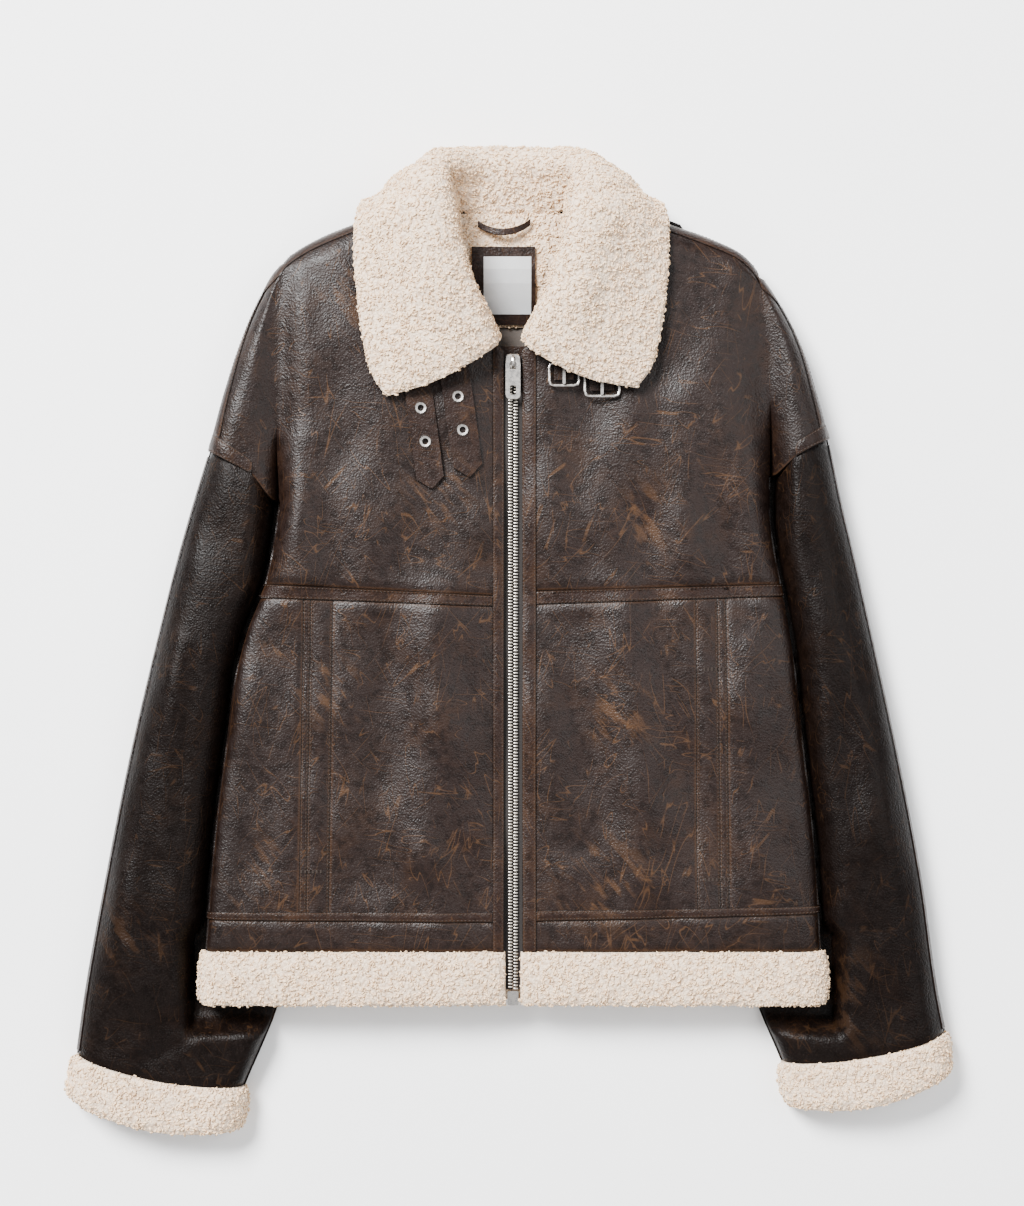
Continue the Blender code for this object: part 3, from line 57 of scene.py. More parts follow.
# Driving sizes
ZIP_X = 0.0036
LEATHER = 0.003
SEAM_GAP = 0.0003
BAND_THICK = 0.0011
PLACKET_THICK = 0.0015
FRONT_HEIGHT = 0.043
ZIP_DIP = 0.004
EDGE_ROUND = 0.022
SHOULDER_SEAM_Z = 0.024
NECK_LIFT = 0.0138
HEM_END_Y = -0.2633
BORG_HEM_END_Y = -0.3085
HEM_PROUD = 0.0072
CUFF_PROUD = 0.0060
CUFF_INSIDE = 0.0042
HEM_INSIDE = 0.0035
BORG_THICK = 0.0075
COLLAR_LEATHER = 0.0021
NECK_X = 0.0022


def tenths(*points):
    """Points given in tenths of a millimetre, in metres."""
    return [tuple(value / 10000 for value in point) for point in points]


# Neckline of the fronts from the zip to the neck point: out, y
NECKLINE = tenths((78, 2450), (246, 2600), (365, 2824), (470, 3080), (530, 3350), (560, 3560), (575, 3742))
# Neck edge of the back from the centre to the neck point: out, y
BACK_NECK = tenths((0, 3575), (250, 3590), (420, 3640), (575, 3742))
# Shoulder and cap outline from the neck point to the armhole: out, y
SHOULDER = {
    RIGHT: tenths((575, 3742), (960, 3672), (1377, 3525), (1640, 3419), (1861, 3291), (2019, 3138), (2176, 2858),
                  (2312, 2543), (2452, 2127), (2592, 1608)),
    LEFT: tenths((575, 3742), (920, 3680), (1331, 3533), (1683, 3410), (1964, 3266), (2117, 3082), (2295, 2807),
                 (2465, 2458), (2589, 2076), (2690, 1710)),
}
# Fold between body and cap, then the body's side edge down to the hem: y, out
SIDE_EDGE = {
    RIGHT: tenths((3400, 1920), (3062, 1955), (2611, 1967), (2008, 1992), (1574, 2010), (1150, 2006), (852, 2040),
                  (478, 2108), (172, 2235), (-185, 2337), (-678, 2405), (-1273, 2490), (-1919, 2558), (-2700, 2615)),
    LEFT: tenths((3400, 2040), (2892, 2110), (2611, 2155), (2178, 2181), (1659, 2198), (1390, 2202), (1064, 2198),
                 (741, 2231), (401, 2295), (36, 2363), (-661, 2440), (-1163, 2499), (-1707, 2559), (-2700, 2618)),
}
# Armhole seam from the cap's outer corner to the fold: out, y
ARMHOLE = {
    RIGHT: tenths((2592, 1608), (2357, 1485), (2133, 1339), (2006, 1175)),
    LEFT: tenths((2690, 1710), (2431, 1585), (2202, 1392)),
}
UNDERARM = {
    RIGHT: tenths((1860, 900), (1720, 600)),
    LEFT: tenths((2040, 1120), (1840, 700)),
}
# Outer and inner edges of the sleeves from the armhole to the cuff: out, y
SLEEVE_OUTER = {
    RIGHT: tenths((2592, 1608), (2720, 1192), (2864, 682), (3034, 2), (3272, -1018), (3476, -2038), (3663, -3058),
                  (3731, -3534)),
    LEFT: tenths((2690, 1710), (2797, 1192), (2916, 682), (3069, 2), (3290, -1018), (3485, -2038), (3638, -3058),
                 (3698, -3347)),
}
SLEEVE_INNER = {
    RIGHT: tenths((1720, 600), (1800, -500), (1900, -1800), (2014, -3118), (2295, -3811)),
    LEFT: tenths((1840, 700), (1900, -500), (1970, -1800), (2083, -3075), (2295, -3602)),
}
# Outer end and inner end of the cuffs' free edge: out, y
CUFF_END = {
    RIGHT: tenths((3790, -3900), (2345, -4180)),
    LEFT: tenths((3720, -3700), (2360, -3975)),
}

# Seams across the fronts: y at the zip, then y at the side edge
CHEST_TOP = {RIGHT: (0.0372, 0.0478), LEFT: (0.0414, 0.0478)}
CHEST_SEAM = {RIGHT: (0.0282, 0.0362), LEFT: (0.0299, 0.0376)}
HEM_TOP = {RIGHT: (-0.2302, -0.2295), LEFT: (-0.2290, -0.2245)}
HEM_SEAM = {RIGHT: (-0.2385, -0.2360), LEFT: (-0.2378, -0.2310)}
# Lines down the fronts: out at the chest, then out at the hem
FRONT_EDGE = {RIGHT: (0.0078, 0.0078), LEFT: (0.0080, 0.0080)}
PLACKET_LINE = {RIGHT: (0.0172, 0.0172), LEFT: (0.0196, 0.0196)}
FACING_LINE = {RIGHT: (0.1521, 0.1563), LEFT: (0.1547, 0.1560)}
WELT_INNER = {RIGHT: (0.1708, 0.1751), LEFT: (0.1729, 0.1760)}
WELT_OUTER = {RIGHT: (0.1769, 0.1812), LEFT: (0.1801, 0.1832)}

# Soft folds of the fronts, as ridges or troughs: side, out and y at each end, half-width, height
FRONT_FOLDS = [
    (RIGHT, 0.066, 0.030, 0.072, -0.180, 0.022, 0.0050),
    (RIGHT, 0.178, 0.165, 0.176, 0.060, 0.020, 0.0045),
    (RIGHT, 0.110, 0.010, 0.118, -0.200, 0.020, -0.0035),
    (RIGHT, 0.120, 0.250, 0.118, 0.080, 0.030, 0.0025),
    (LEFT, 0.140, 0.200, 0.150, 0.075, 0.022, 0.0045),
    (LEFT, 0.096, 0.030, 0.112, -0.200, 0.022, 0.0048),
    (LEFT, 0.052, 0.010, 0.050, -0.170, 0.018, -0.0030),
    (LEFT, 0.200, -0.010, 0.212, -0.200, 0.016, 0.0025),
]

# Height of the sleeve's ridge and of the seams along its edges, and how far from these it is rounded
SLEEVE_RIDGE = 0.046
SLEEVE_SEAM_Z = 0.020
SLEEVE_ROUND = 0.028
# Lift of the body's side over the sleeve: y, height
SIDE_LIFT = tenths((1750, 130), (1150, 130), (500, 205), (-1000, 215), (-3100, 235))

# The collar's sections from its front end to the centre back. Each point is out, y, z, where the borg
# meets its leather underside: neck, stand, roll, turn, fall, edge.
COLLAR = [
    tenths((118, 2530, 428), (128, 2505, 500), (165, 2460, 575), (290, 2372, 605), (620, 2190, 570),
           (1050, 2055, 505)),
    tenths((235, 2665, 420), (215, 2690, 540), (245, 2690, 660), (380, 2640, 700), (740, 2455, 620),
           (1175, 2260, 505)),
    tenths((350, 2900, 420), (335, 2920, 570), (365, 2930, 715), (495, 2890, 765), (840, 2750, 645),
           (1250, 2600, 505)),
    tenths((430, 3100, 420), (410, 3120, 580), (440, 3140, 740), (570, 3120, 800), (900, 3030, 665),
           (1290, 2930, 505)),
    tenths((480, 3290, 410), (465, 3310, 585), (495, 3330, 750), (630, 3340, 810), (950, 3310, 670),
           (1310, 3240, 480)),
    tenths((490, 3450, 380), (490, 3465, 580), (535, 3485, 750), (670, 3510, 800), (980, 3530, 670),
           (1300, 3530, 450)),
    tenths((500, 3570, 345), (508, 3585, 560), (565, 3615, 735), (700, 3655, 770), (990, 3690, 620),
           (1230, 3690, 280)),
    tenths((505, 3690, 300), (530, 3720, 520), (600, 3740, 710), (830, 3800, 670), (1000, 3840, 390),
           (1000, 3650, 95)),
    tenths((498, 3775, 260), (540, 3830, 460), (600, 3870, 650), (720, 3950, 600), (790, 3960, 320),
           (850, 3500, 90)),
    tenths((440, 3690, 200), (520, 3880, 380), (555, 4010, 540), (615, 4090, 430), (625, 4040, 160),
           (640, 3390, 88)),
    tenths((240, 3625, 155), (265, 3870, 265), (275, 4060, 335), (280, 4140, 230), (280, 4060, 98), (290, 3300, 88)),
    tenths((0, 3600, 150), (0, 3855, 255), (0, 4060, 310), (0, 4145, 205), (0, 4055, 98), (0, 3270, 88)),
]
# How much higher up the garment the tip of the collar's left leaf lies than the right one's
LEFT_TIP_LIFT = 0.0070


# Curves and shares

def cubic(values, slopes, low, step, share):
    """Places on smooth stretches between knots, from the values and slopes at both ends of each."""
    return (
        (2 * share**3 - 3 * share**2 + 1) * values[low]
        + (share**3 - 2 * share**2 + share) * step * slopes[low]
        + (3 * share**2 - 2 * share**3) * values[low + 1]
        + (share**3 - share**2) * step * slopes[low + 1]
    )


def smooth_through(rows, places):
    """Values at the given places of a smooth curve through rows of (place, value, value, ...)."""
    rows = np.array(rows, float)
    rows = rows[np.argsort(rows[:, 0], kind="stable")]
    knots, values = rows[:, 0], rows[:, 1:]
    slopes = np.gradient(values, knots, axis=0)
    places = np.clip(np.asarray(places, float), knots[0], knots[-1])
    low = np.clip(np.searchsorted(knots, places, side="right") - 1, 0, len(knots) - 2)
    step = (knots[low + 1] - knots[low])[..., None]
    share = (places - knots[low])[..., None] / step
    found = cubic(values, slopes, low, step, share)
    return found[..., 0] if values.shape[1] == 1 else found


def along(points, shares):
    """Points at the given shares of the length of a smooth curve through the points."""
    points = np.array(points, float)
    steps = np.linalg.norm(np.diff(points, axis=0), axis=1)
    knots = np.concatenate([[0], np.cumsum(steps)]) / steps.sum()
    return smooth_through(np.column_stack([knots, points]), shares)


def ease(share):
    share = np.clip(share, 0, 1)
    return share * share * (3 - 2 * share)


def rounded(share):
    """Height share of a quarter-round edge, at a share of the edge's width."""
    share = np.clip(share, 0, 1)
    return np.sqrt(1 - (1 - share) ** 2)


def unit(vectors, least=1e-9):
    """Vectors brought to length 1, apart from those shorter than the least."""
    return vectors / np.maximum(np.linalg.norm(vectors, axis=-1, keepdims=True), least)


def between(pair, share):
    return pair[0] + (pair[1] - pair[0]) * share


def distance_to_line(out, y, line):
    """Distance in plan from each place to a line of points."""
    places = np.stack([np.asarray(out, float), np.asarray(y, float)], axis=-1)[..., None, :]
    start, run = line[:-1], np.diff(line, axis=0)
    share = np.clip(((places - start) * run).sum(-1) / (run * run).sum(-1), 0, 1)
    return np.linalg.norm(places - start - share[..., None] * run, axis=-1).min(-1)


# Heights of the body's two faces

OUTLINE = {side: along(SHOULDER[side], np.linspace(0, 1, 60)) for side in SIDES}
# Where the fold between body and cap ends, and how far outside it the cap's first point lies
FOLD_END_Y = {side: ARMHOLE[side][-1][1] for side in SIDES}
CAP_CORNER_STEP = 0.0035
# Pull of a seam above which the wall stands square to it
SQUARE_ABOVE = 0.96


def side_edge(side, y):
    return smooth_through(SIDE_EDGE[side], y)


def cap_start(side):
    """Number of the outline's point just outside the fold between body and cap."""
    beyond = OUTLINE[side][:, 0] - side_edge(side, OUTLINE[side][:, 1]) - CAP_CORNER_STEP
    return int(np.argmax(beyond > 0))


def side_lift(y):
    return smooth_through(SIDE_LIFT, y)


def folds(table, side, across, along_it, scales=(1.0, 1.0)):
    """Height of one side's soft ridges and troughs, which run along straight lines."""
    height = np.zeros(np.shape(across))
    for fold_side, a, a_along, b, b_along, half_width, rise in table:
        if fold_side == side:
            share = np.clip((along_it - a_along) / (b_along - a_along), 0, 1)
            off = np.hypot((across - (a + (b - a) * share)) * scales[0],
                           (along_it - (a_along + (b_along - a_along) * share)) * scales[1])
            height += rise * np.exp(-((off / half_width) ** 2))
    return height


def crown(side, out, y):
    """Height of the fronts' outer face away from its edges."""
    height = FRONT_HEIGHT - ZIP_DIP * np.exp(-((out / 0.030) ** 2)) + 0.002 * ease((y - 0.15) / 0.1)
    return height + folds(FRONT_FOLDS, side, out, y)


def side_share(side, y):
    """How far the fold of the body's side has opened into a free edge: 0 at the shoulder, 1 at the armhole."""
    return ease((FOLD_END_Y[side] + 0.080 - y) / 0.080)


def bottom(side, out, y):
    """Height of the back's outer face away from its edges: flat, lifted over the sleeve and the collar."""
    edge = side_edge(side, y)
    inner = smooth_through([(row[1], row[0]) for row in SLEEVE_INNER[side]], y)
    over = ease((out - inner + 0.060) / 0.054) * (1 - ease((out - edge - 0.002) / 0.030))
    over = over * ease((FOLD_END_Y[side] + 0.075 - y) / 0.072)
    neck = ease((y - 0.262) / 0.056) * (1 - ease((out - 0.140) / 0.030))
    return np.maximum(side_lift(y) * over, NECK_LIFT * neck)


def side_seam_z(side, y):
    return side_lift(y) + 0.004 + 0.006 * ease((FOLD_END_Y[side] - y) / 0.060)


def edge_shares(side, out, y):
    """Shares by which the side seam and the shoulder seam pull a face towards their own height."""
    side_pull = (1 - rounded(np.abs(side_edge(side, y) - out) / EDGE_ROUND)) * side_share(side, y)
    near = distance_to_line(out, y, OUTLINE[side])
    top_pull = (1 - rounded(near / EDGE_ROUND)) * ease((out - 0.050) / 0.020)
    beyond = np.where(y < FOLD_END_Y[side] - 0.002, 0.0, 1.0)
    return side_pull, top_pull * beyond


def square_to_seams(side, plan, normals):
    """Turns the normals level along the seams between front and back, so that both walls end square there."""
    out, y = np.nan_to_num(plan[..., 0], nan=0.1), np.nan_to_num(plan[..., 1])
    side_pull, top_pull = edge_shares(side, out, y)
    level = np.maximum(side_pull, top_pull) > SQUARE_ABOVE
    turned = normals * np.where(level, 0.0, 1.0)[..., None] * np.array([0, 0, 1]) + normals * np.array([1, 1, 0])
    return unit(turned)


def shoulder_seam_z(out):
    return SHOULDER_SEAM_Z + 0.005 * (1 - ease((out - 0.10) / 0.06))


def front_z(side, out, y):
    height = crown(side, out, y)
    side_pull, top_pull = edge_shares(side, out, y)
    valley = 0.006 * np.exp(-(((side_edge(side, y) - out) / 0.014) ** 2)) * (1 - side_share(side, y))
    drop_side = (height - side_seam_z(side, y)) * side_pull + valley
    drop_top = (height - shoulder_seam_z(out)) * top_pull
    return height - np.maximum(drop_side, drop_top)


def back_z(side, out, y):
    height = bottom(side, out, y)
    side_pull, top_pull = edge_shares(side, out, y)
    rise = np.maximum((side_seam_z(side, y) - height) * side_pull, (shoulder_seam_z(out) - height) * top_pull)
    return height + rise


# Grids of places

# Distances in from an edge of the rows or columns beside it, and shares across the cap of its columns
EDGE_STEPS = np.array([0.0, 0.0022, 0.0085, 0.0145, EDGE_ROUND])
CAP_SHARES = np.array([0.0, 0.42, 0.74, 0.88, 0.97, 1.0])


def top_edge(side, out, back):
    """Height up the garment of the neckline and shoulder line, at distances out."""
    line = (BACK_NECK if back else NECKLINE)[:-1] + list(OUTLINE[side])
    line = np.array(line, float)
    return np.interp(out, line[:, 0], line[:, 1])


def upper_grid(side, columns, spread, back=False):
    """Rows and columns of places over the upper body and its cap, and the number of the armhole's row."""
    start = cap_start(side)
    corner = OUTLINE[side][start]
    fold_y = FOLD_END_Y[side]
    fold_top = corner[1] + 0.001
    chest_top = CHEST_TOP[side]
    first = fold_top - EDGE_STEPS
    middle = np.linspace(first[-1], fold_y + 0.0095, spread + 1)[1:]
    last = np.linspace(fold_y, chest_top[1], 4)
    fold_rows = np.concatenate([first, middle, last])
    armhole_row = len(first) + len(middle)
    shares = (first[-1] - fold_rows) / (first[-1] - fold_rows[-1])
    rows = []
    for row, fold_place in enumerate(fold_rows):
        edge = float(side_edge(side, fold_place))
        outs = np.concatenate([columns(fold_place), edge - EDGE_STEPS[::-1]])
        tops = top_edge(side, np.minimum(outs, corner[0]), back)
        tops = np.where(outs > edge - 0.001, fold_top, tops)
        chest = between(chest_top, outs / outs[-1])
        offset = EDGE_STEPS[min(row, len(EDGE_STEPS) - 1)]
        ys = tops - offset
        if row >= len(first):
            ys = tops - offset + (chest - tops + offset) * shares[row]
        rows.append(np.column_stack([outs, ys]))
    seam = rows[-1].copy()
    seam[:, 1] = between(CHEST_SEAM[side], seam[:, 0] / seam[-1, 0])
    seam[-5:, 0] = float(side_edge(side, seam[-1, 1])) - EDGE_STEPS[::-1]
    rows.append(seam)
    grid = np.array(rows)
    outer = along(OUTLINE[side][start:], np.linspace(0, 1, armhole_row + 1))
    hem_line = along(ARMHOLE[side][::-1], CAP_SHARES)
    chord = hem_line[0] + (hem_line[-1] - hem_line[0]) * CAP_SHARES[:, None]
    cap = np.full((len(grid), len(CAP_SHARES) - 1, 2), np.nan)
    for row in range(armhole_row + 1):
        inner = grid[row, -1]
        line = inner + (outer[row] - inner) * CAP_SHARES[:, None]
        cap[row] = (line + (hem_line - chord) * (row / armhole_row) ** 2)[1:]
    return np.concatenate([grid, cap], axis=1), armhole_row


def raise_grid(side, plan, height):
    """World points of a grid of places, at a height function."""
    out, y = np.nan_to_num(plan[..., 0], nan=0.1), np.nan_to_num(plan[..., 1])
    return np.stack([ZIP_X + side * out, y, height(side, out, y)], axis=-1)


# Grids of the walls

# Distances out of the fronts' columns above the chest seam, and the number of the one at the neck point
FRONT_COLUMNS = {
    RIGHT: np.array([0.0078, 0.0172, 0.034, 0.046, 0.0525, 0.0575, 0.088, 0.112, 0.138, 0.166]),
    LEFT: np.array([0.0080, 0.0196, 0.034, 0.046, 0.0525, 0.0575, 0.088, 0.124, 0.150, 0.178]),
}
NECK_POINT_COLUMN = 5
# Rows between the seams of the fronts, above and below the chest seam
UPPER_SPREAD, LOWER_SPREAD = 6, 7


def front_lines(lines):
    """Columns along lines that run from the chest seam to the hem."""
    return lambda down, y: [between(line, down) for line in lines]


def lower_grid(side, columns, spread):
    """Rows and columns of places from the chest seam to the end of the hem leather."""
    shares = np.linspace(0, 1, spread + 1)
    seams = [CHEST_SEAM[side], HEM_TOP[side], HEM_SEAM[side], (HEM_END_Y, HEM_END_Y)]
    rows = []
    for share in shares:
        rows.append((between(seams[0], 0) * (1 - share) + seams[1][0] * share,
                     seams[0][1] * (1 - share) + seams[1][1] * share))
    rows += [seams[2], seams[3]]
    grid = []
    for at_zip, at_side in rows:
        down = np.clip((seams[0][1] - at_side) / (seams[0][1] - HEM_END_Y), 0, 1)
        edge = float(side_edge(side, at_side))
        outs = np.concatenate([columns(down, at_side), edge - EDGE_STEPS[::-1]])
        grid.append(np.column_stack([outs, at_zip + (at_side - at_zip) * outs / edge]))
    return np.array(grid)


# The back's columns near its middle, and its outer ones, counted from the inner edge of the sleeve under it
BACK_COLUMNS = np.array([0.0, 0.0250, 0.0420, 0.0575, 0.088])
OVER_SLEEVE_STEPS = np.array([-0.060, -0.034, -0.006])
BACK_UPPER_SPREAD, BACK_LOWER_SPREAD = 5, 4


def back_columns(side, y):
    """Distances out of the back's columns, the outer ones along the sleeve that lies under it."""
    inner = float(smooth_through([(row[1], row[0]) for row in SLEEVE_INNER[side]], y))
    return np.concatenate([BACK_COLUMNS, inner + OVER_SLEEVE_STEPS])


# Columns of the sleeve's front, as shares of its stretch outside the body's edge and of the rest, and of its back
ACROSS_OPEN = np.array([0.0, 0.016, 0.065, 0.16, 0.30, 0.48, 0.66, 0.84, 0.94, 1.0])
ACROSS_COVERED = np.array([0.45, 0.82, 0.955, 1.0])
ACROSS_UNDER = np.array([0.0, 0.012, 0.05, 0.14, 0.45, 0.80, 0.94, 0.985, 1.0])
# Soft folds of the sleeves: side, share across and share along at each end, half-width, height
SLEEVE_FOLDS = [
    (RIGHT, 0.62, 0.05, 0.50, 0.45, 0.10, -0.0050),
    (RIGHT, 0.22, 0.45, 0.30, 0.85, 0.10, 0.0035),
    (RIGHT, 0.75, 0.74, 0.55, 0.90, 0.07, -0.0040),
    (LEFT, 0.60, 0.04, 0.52, 0.40, 0.10, -0.0045),
    (LEFT, 0.25, 0.50, 0.28, 0.88, 0.10, 0.0030),
    (LEFT, 0.50, 0.78, 0.70, 0.92, 0.07, -0.0040),
]


def sleeve_plan(side, down, across):
    """Place on the sleeve at a share down its length and a share across from its outer to its inner edge."""
    down, across = np.broadcast_arrays(down, across)
    outer = along(SLEEVE_OUTER[side], down)
    inner = along(SLEEVE_INNER[side], down)
    straight = outer + (inner - outer) * across[..., None]
    top_line = ARMHOLE[side] + UNDERARM[side]
    bow = along(top_line, across)
    chord = np.array(top_line[0]) + (np.array(top_line[-1]) - top_line[0]) * across[..., None]
    place = straight + (bow - chord) * ((1 - down) ** 3)[..., None]
    sag = np.array([0.0, -0.006]) * (np.sin(np.pi * across) * down**6)[..., None]
    return place + sag


def across_top(side, down):
    """Shares across the sleeve's front, with a column where the body's edge comes to lie on it."""
    trial = np.linspace(0.30, 0.86, 57)
    place = sleeve_plan(side, np.full(len(trial), down), trial)
    beyond = past_body(side, place[:, 0], place[:, 1])[0] - 0.0040
    border = trial[int(np.argmax(beyond < 0))] if (beyond < 0).any() else trial[-1]
    return np.concatenate([border * ACROSS_OPEN, border + (1 - border) * ACROSS_COVERED])


# Heights up the garment: where the body's side ends for the sleeve on it, and where the sleeve is clear of the hem
BODY_SIDE_END_Y, PAST_HEM_Y = -0.262, -0.318


def past_body(side, out, y):
    """How far a place on the sleeve lies outside the body's edge, and how clear of the hem it is, from 0 to 1."""
    return out - side_edge(side, np.maximum(y, BODY_SIDE_END_Y)), ease((PAST_HEM_Y - y) / 0.030)


def sleeve_cap(side, out, y):
    """Highest that the sleeve may reach: under the body's side it stays below the lifted back."""
    hem = 0.0082 * ease((-0.235 - y) / 0.020) * ease((y + 0.345) / 0.020)
    under = side_lift(y) - 0.0016 - hem
    outside, past_hem = past_body(side, out, y)
    beyond = outside - 0.0045 - 0.008 * ease((-0.235 - y) / 0.020)
    return under + (SLEEVE_RIDGE - under) * np.maximum(rounded(beyond / EDGE_ROUND), past_hem)


def sleeve_pull(side, down, across):
    """Share by which the seams along the sleeve's two edges pull its faces to their own height."""
    width = np.linalg.norm(along(SLEEVE_OUTER[side], down) - along(SLEEVE_INNER[side], down), axis=-1)
    outer_pull = 1 - rounded(across * width / SLEEVE_ROUND)
    inner_pull = 1 - rounded((1 - across) * width / (0.010 + 0.010 * ease((down - 0.75) / 0.2)))
    return np.maximum(outer_pull, inner_pull)


def sleeve_top_z(side, down, across, place):
    ridge = smooth_through([(0.0, 0.044), (0.3, 0.046), (0.7, 0.046), (1.0, 0.040)], down)
    body = smooth_through([(0.0, 0.90), (0.3, 1.0), (0.62, 0.93), (1.0, 0.80)], across)
    height = ridge * body + folds(SLEEVE_FOLDS, side, across, down, (1.0, 3.0))
    height = np.minimum(height, sleeve_cap(side, place[..., 0], place[..., 1]))
    seam = np.minimum(SLEEVE_SEAM_Z, height * 0.45)
    return height - (height - seam) * sleeve_pull(side, down, across)


def sleeve_under_z(side, down, across, place):
    ends = sleeve_top_z(side, down, np.round(across), sleeve_plan(side, down, np.round(across)))
    return ends * sleeve_pull(side, down, across)


def sleeve_grid(side, stations, across, height):
    """World points of a sleeve's face; across is a list of shares, or a function of the share down."""
    over = np.array([across(side, station) if callable(across) else across for station in stations])
    down = np.broadcast_to(np.asarray(stations)[:, None], over.shape)
    place = sleeve_plan(side, down, over)
    z = height(side, down, over, place)
    return np.stack([ZIP_X + side * place[..., 0], place[..., 1], z], axis=-1)


# Share of the cuff's length that lies between the sleeve's end and the cuff
CUFF_START = 0.015
# Where the borg of the hem begins
BORG_HEM_START_Y = -0.2637


def hem_front_z(side, out, y):
    return front_z(side, out, np.full(np.shape(out), HEM_END_Y))


def hem_back_z(side, out, y):
    return back_z(side, out, np.full(np.shape(out), HEM_END_Y))


# Lowest place of the collar between borg and leather, so that the borg clears the floor
COLLAR_LOWEST = 0.0086


def collar_grid(stations, across):
    """Where the borg meets the leather of the collar, from the wearer's right end round to the left end."""
    table = np.array(COLLAR)
    half = np.linspace(0, 1, len(table))
    rows = []
    for place in stations:
        side = RIGHT if place < 0.5 else LEFT
        share = 1 - abs(place - 0.5) * 2
        section = smooth_through(np.column_stack([half, table.reshape(len(table), -1)]), share).reshape(-1, 3)
        if side == LEFT:
            tip = ease(1 - share / 0.25) * ease((section[:, 0] - 0.04) / 0.06)
            section[:, 1] += LEFT_TIP_LIFT * tip
        points = along(section, across)
        points[:, 0] = NECK_X + side * np.abs(points[:, 0])
        points[:, 2] = np.maximum(points[:, 2], COLLAR_LOWEST)
        rows.append(points)
    return np.array(rows)


# Half of the teeth's width, where the zip ends, and where the pull tab's upper end lies at rest
TEETH_HALF = 0.0043
ZIP_END_Y = -0.2960
PULL_TOP_Y = 0.23685


def zip_face_z(y):
    """Height of the tape's upper face under the fronts."""
    return front_z(RIGHT, np.full(np.shape(y), FRONT_EDGE[RIGHT][0]), y) - LEATHER - SEAM_GAP - 0.0004


def outline_ring(half_width, half_length, corner, count=4):
    """A rounded rectangle, as points round its centre."""
    points = []
    for quarter in range(4):
        sign_x = 1 if quarter in (0, 3) else -1
        sign_y = 1 if quarter in (0, 1) else -1
        for step in range(count):
            angle = np.pi / 2 * (quarter + step / (count - 1))
            points.append((sign_x * (half_width - corner) + corner * np.cos(angle),
                           sign_y * (half_length - corner) + corner * np.sin(angle)))
    return np.array(points)


# Sides and upper and lower edge of the neck patch, and thickness of the facing that it lies on
PATCH = (-0.0350, 0.0190, 0.3350, 0.2700)
FACING_THICK = 0.0050


def inside_z(out_signed, y):
    """Height of the back's inner face at places x from the zip line."""
    side_right = back_z(RIGHT, np.abs(out_signed), y)
    side_left = back_z(LEFT, np.abs(out_signed), y)
    return np.where(out_signed < 0, side_right, side_left) + LEATHER + 0.0030


# Meshes

# Turns between faces above which an edge of a wall, or of a zip tooth, is drawn sharp, in radians
SHARP_WALL, SHARP_TOOTH = 0.9, 0.8
TAB_LOW, TAB_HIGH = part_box("zip_pull_tab")
# The part is moved so that its box stands over the origin: this is that move.
MOVE = np.array([(TAB_LOW[0] + TAB_HIGH[0]) / 2 - ZIP_X, TAB_HIGH[1] - PULL_TOP_Y, 0.0])


def link_object(name, data):
    made = bpy.data.objects.new(name, data)
    bpy.context.collection.objects.link(made)
    return made


def add_object(name, mesh, material):
    """A smooth piece of the jacket's body from a mesh."""
    mesh.materials.append(material)
    mesh.shade_smooth()
    made = link_object(name, mesh)
    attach(made, "jacket")
    return made


def add_mesh(name, points, faces, material):
    """The same from points in the part's own places, and faces of any number of corners."""
    mesh = bpy.data.meshes.new(name)
    points = np.asarray(points, float) + MOVE
    mesh.from_pydata(points.tolist(), [], [list(map(int, face)) for face in faces])
    return add_object(name, mesh, material)


# How far inside a seam the extra row or column lies that makes its dip sharp
SEAM_INSET = 0.0013


def fine_steps(knots, step, seams, counts=None):
    """Places along the knots, each stretch split into pieces no longer than step, or into the given counts.
    A place lies close on either side of each seam, so that the leather can turn down there."""
    if counts is None:
        counts = np.maximum(1, np.ceil(np.diff(knots) / step)).astype(int)
    places, at = [knots[0]], [0]
    for number, (start, end, count) in enumerate(zip(knots[:-1], knots[1:], counts)):
        inside = list(start + (end - start) * np.arange(1, count) / count)
        room = (end - start) / count > 2 * SEAM_INSET
        if number in seams and room:
            inside = [start + SEAM_INSET] + inside
        if number + 1 in seams and room:
            inside = inside + [end - SEAM_INSET]
        places += inside + [end]
        at.append(len(places) - 1)
    return np.array(places), at


def steady_through(knots, values, places):
    """A smooth line through values at knots that never turns back between them."""
    steps = np.diff(knots)
    rises = np.diff(values, axis=0) / steps[:, None]
    slopes = np.zeros(values.shape)
    before, after = rises[:-1], rises[1:]
    total = before + after
    slopes[1:-1] = np.where(before * after > 0, 2 * before * after / np.where(total == 0, 1.0, total), 0.0)
    slopes[0], slopes[-1] = rises[0], rises[-1]
    low = np.clip(np.searchsorted(knots, places, side="right") - 1, 0, len(knots) - 2)
    step = steps[low][:, None]
    return cubic(values, slopes, low, step, (places - knots[low])[:, None] / step)


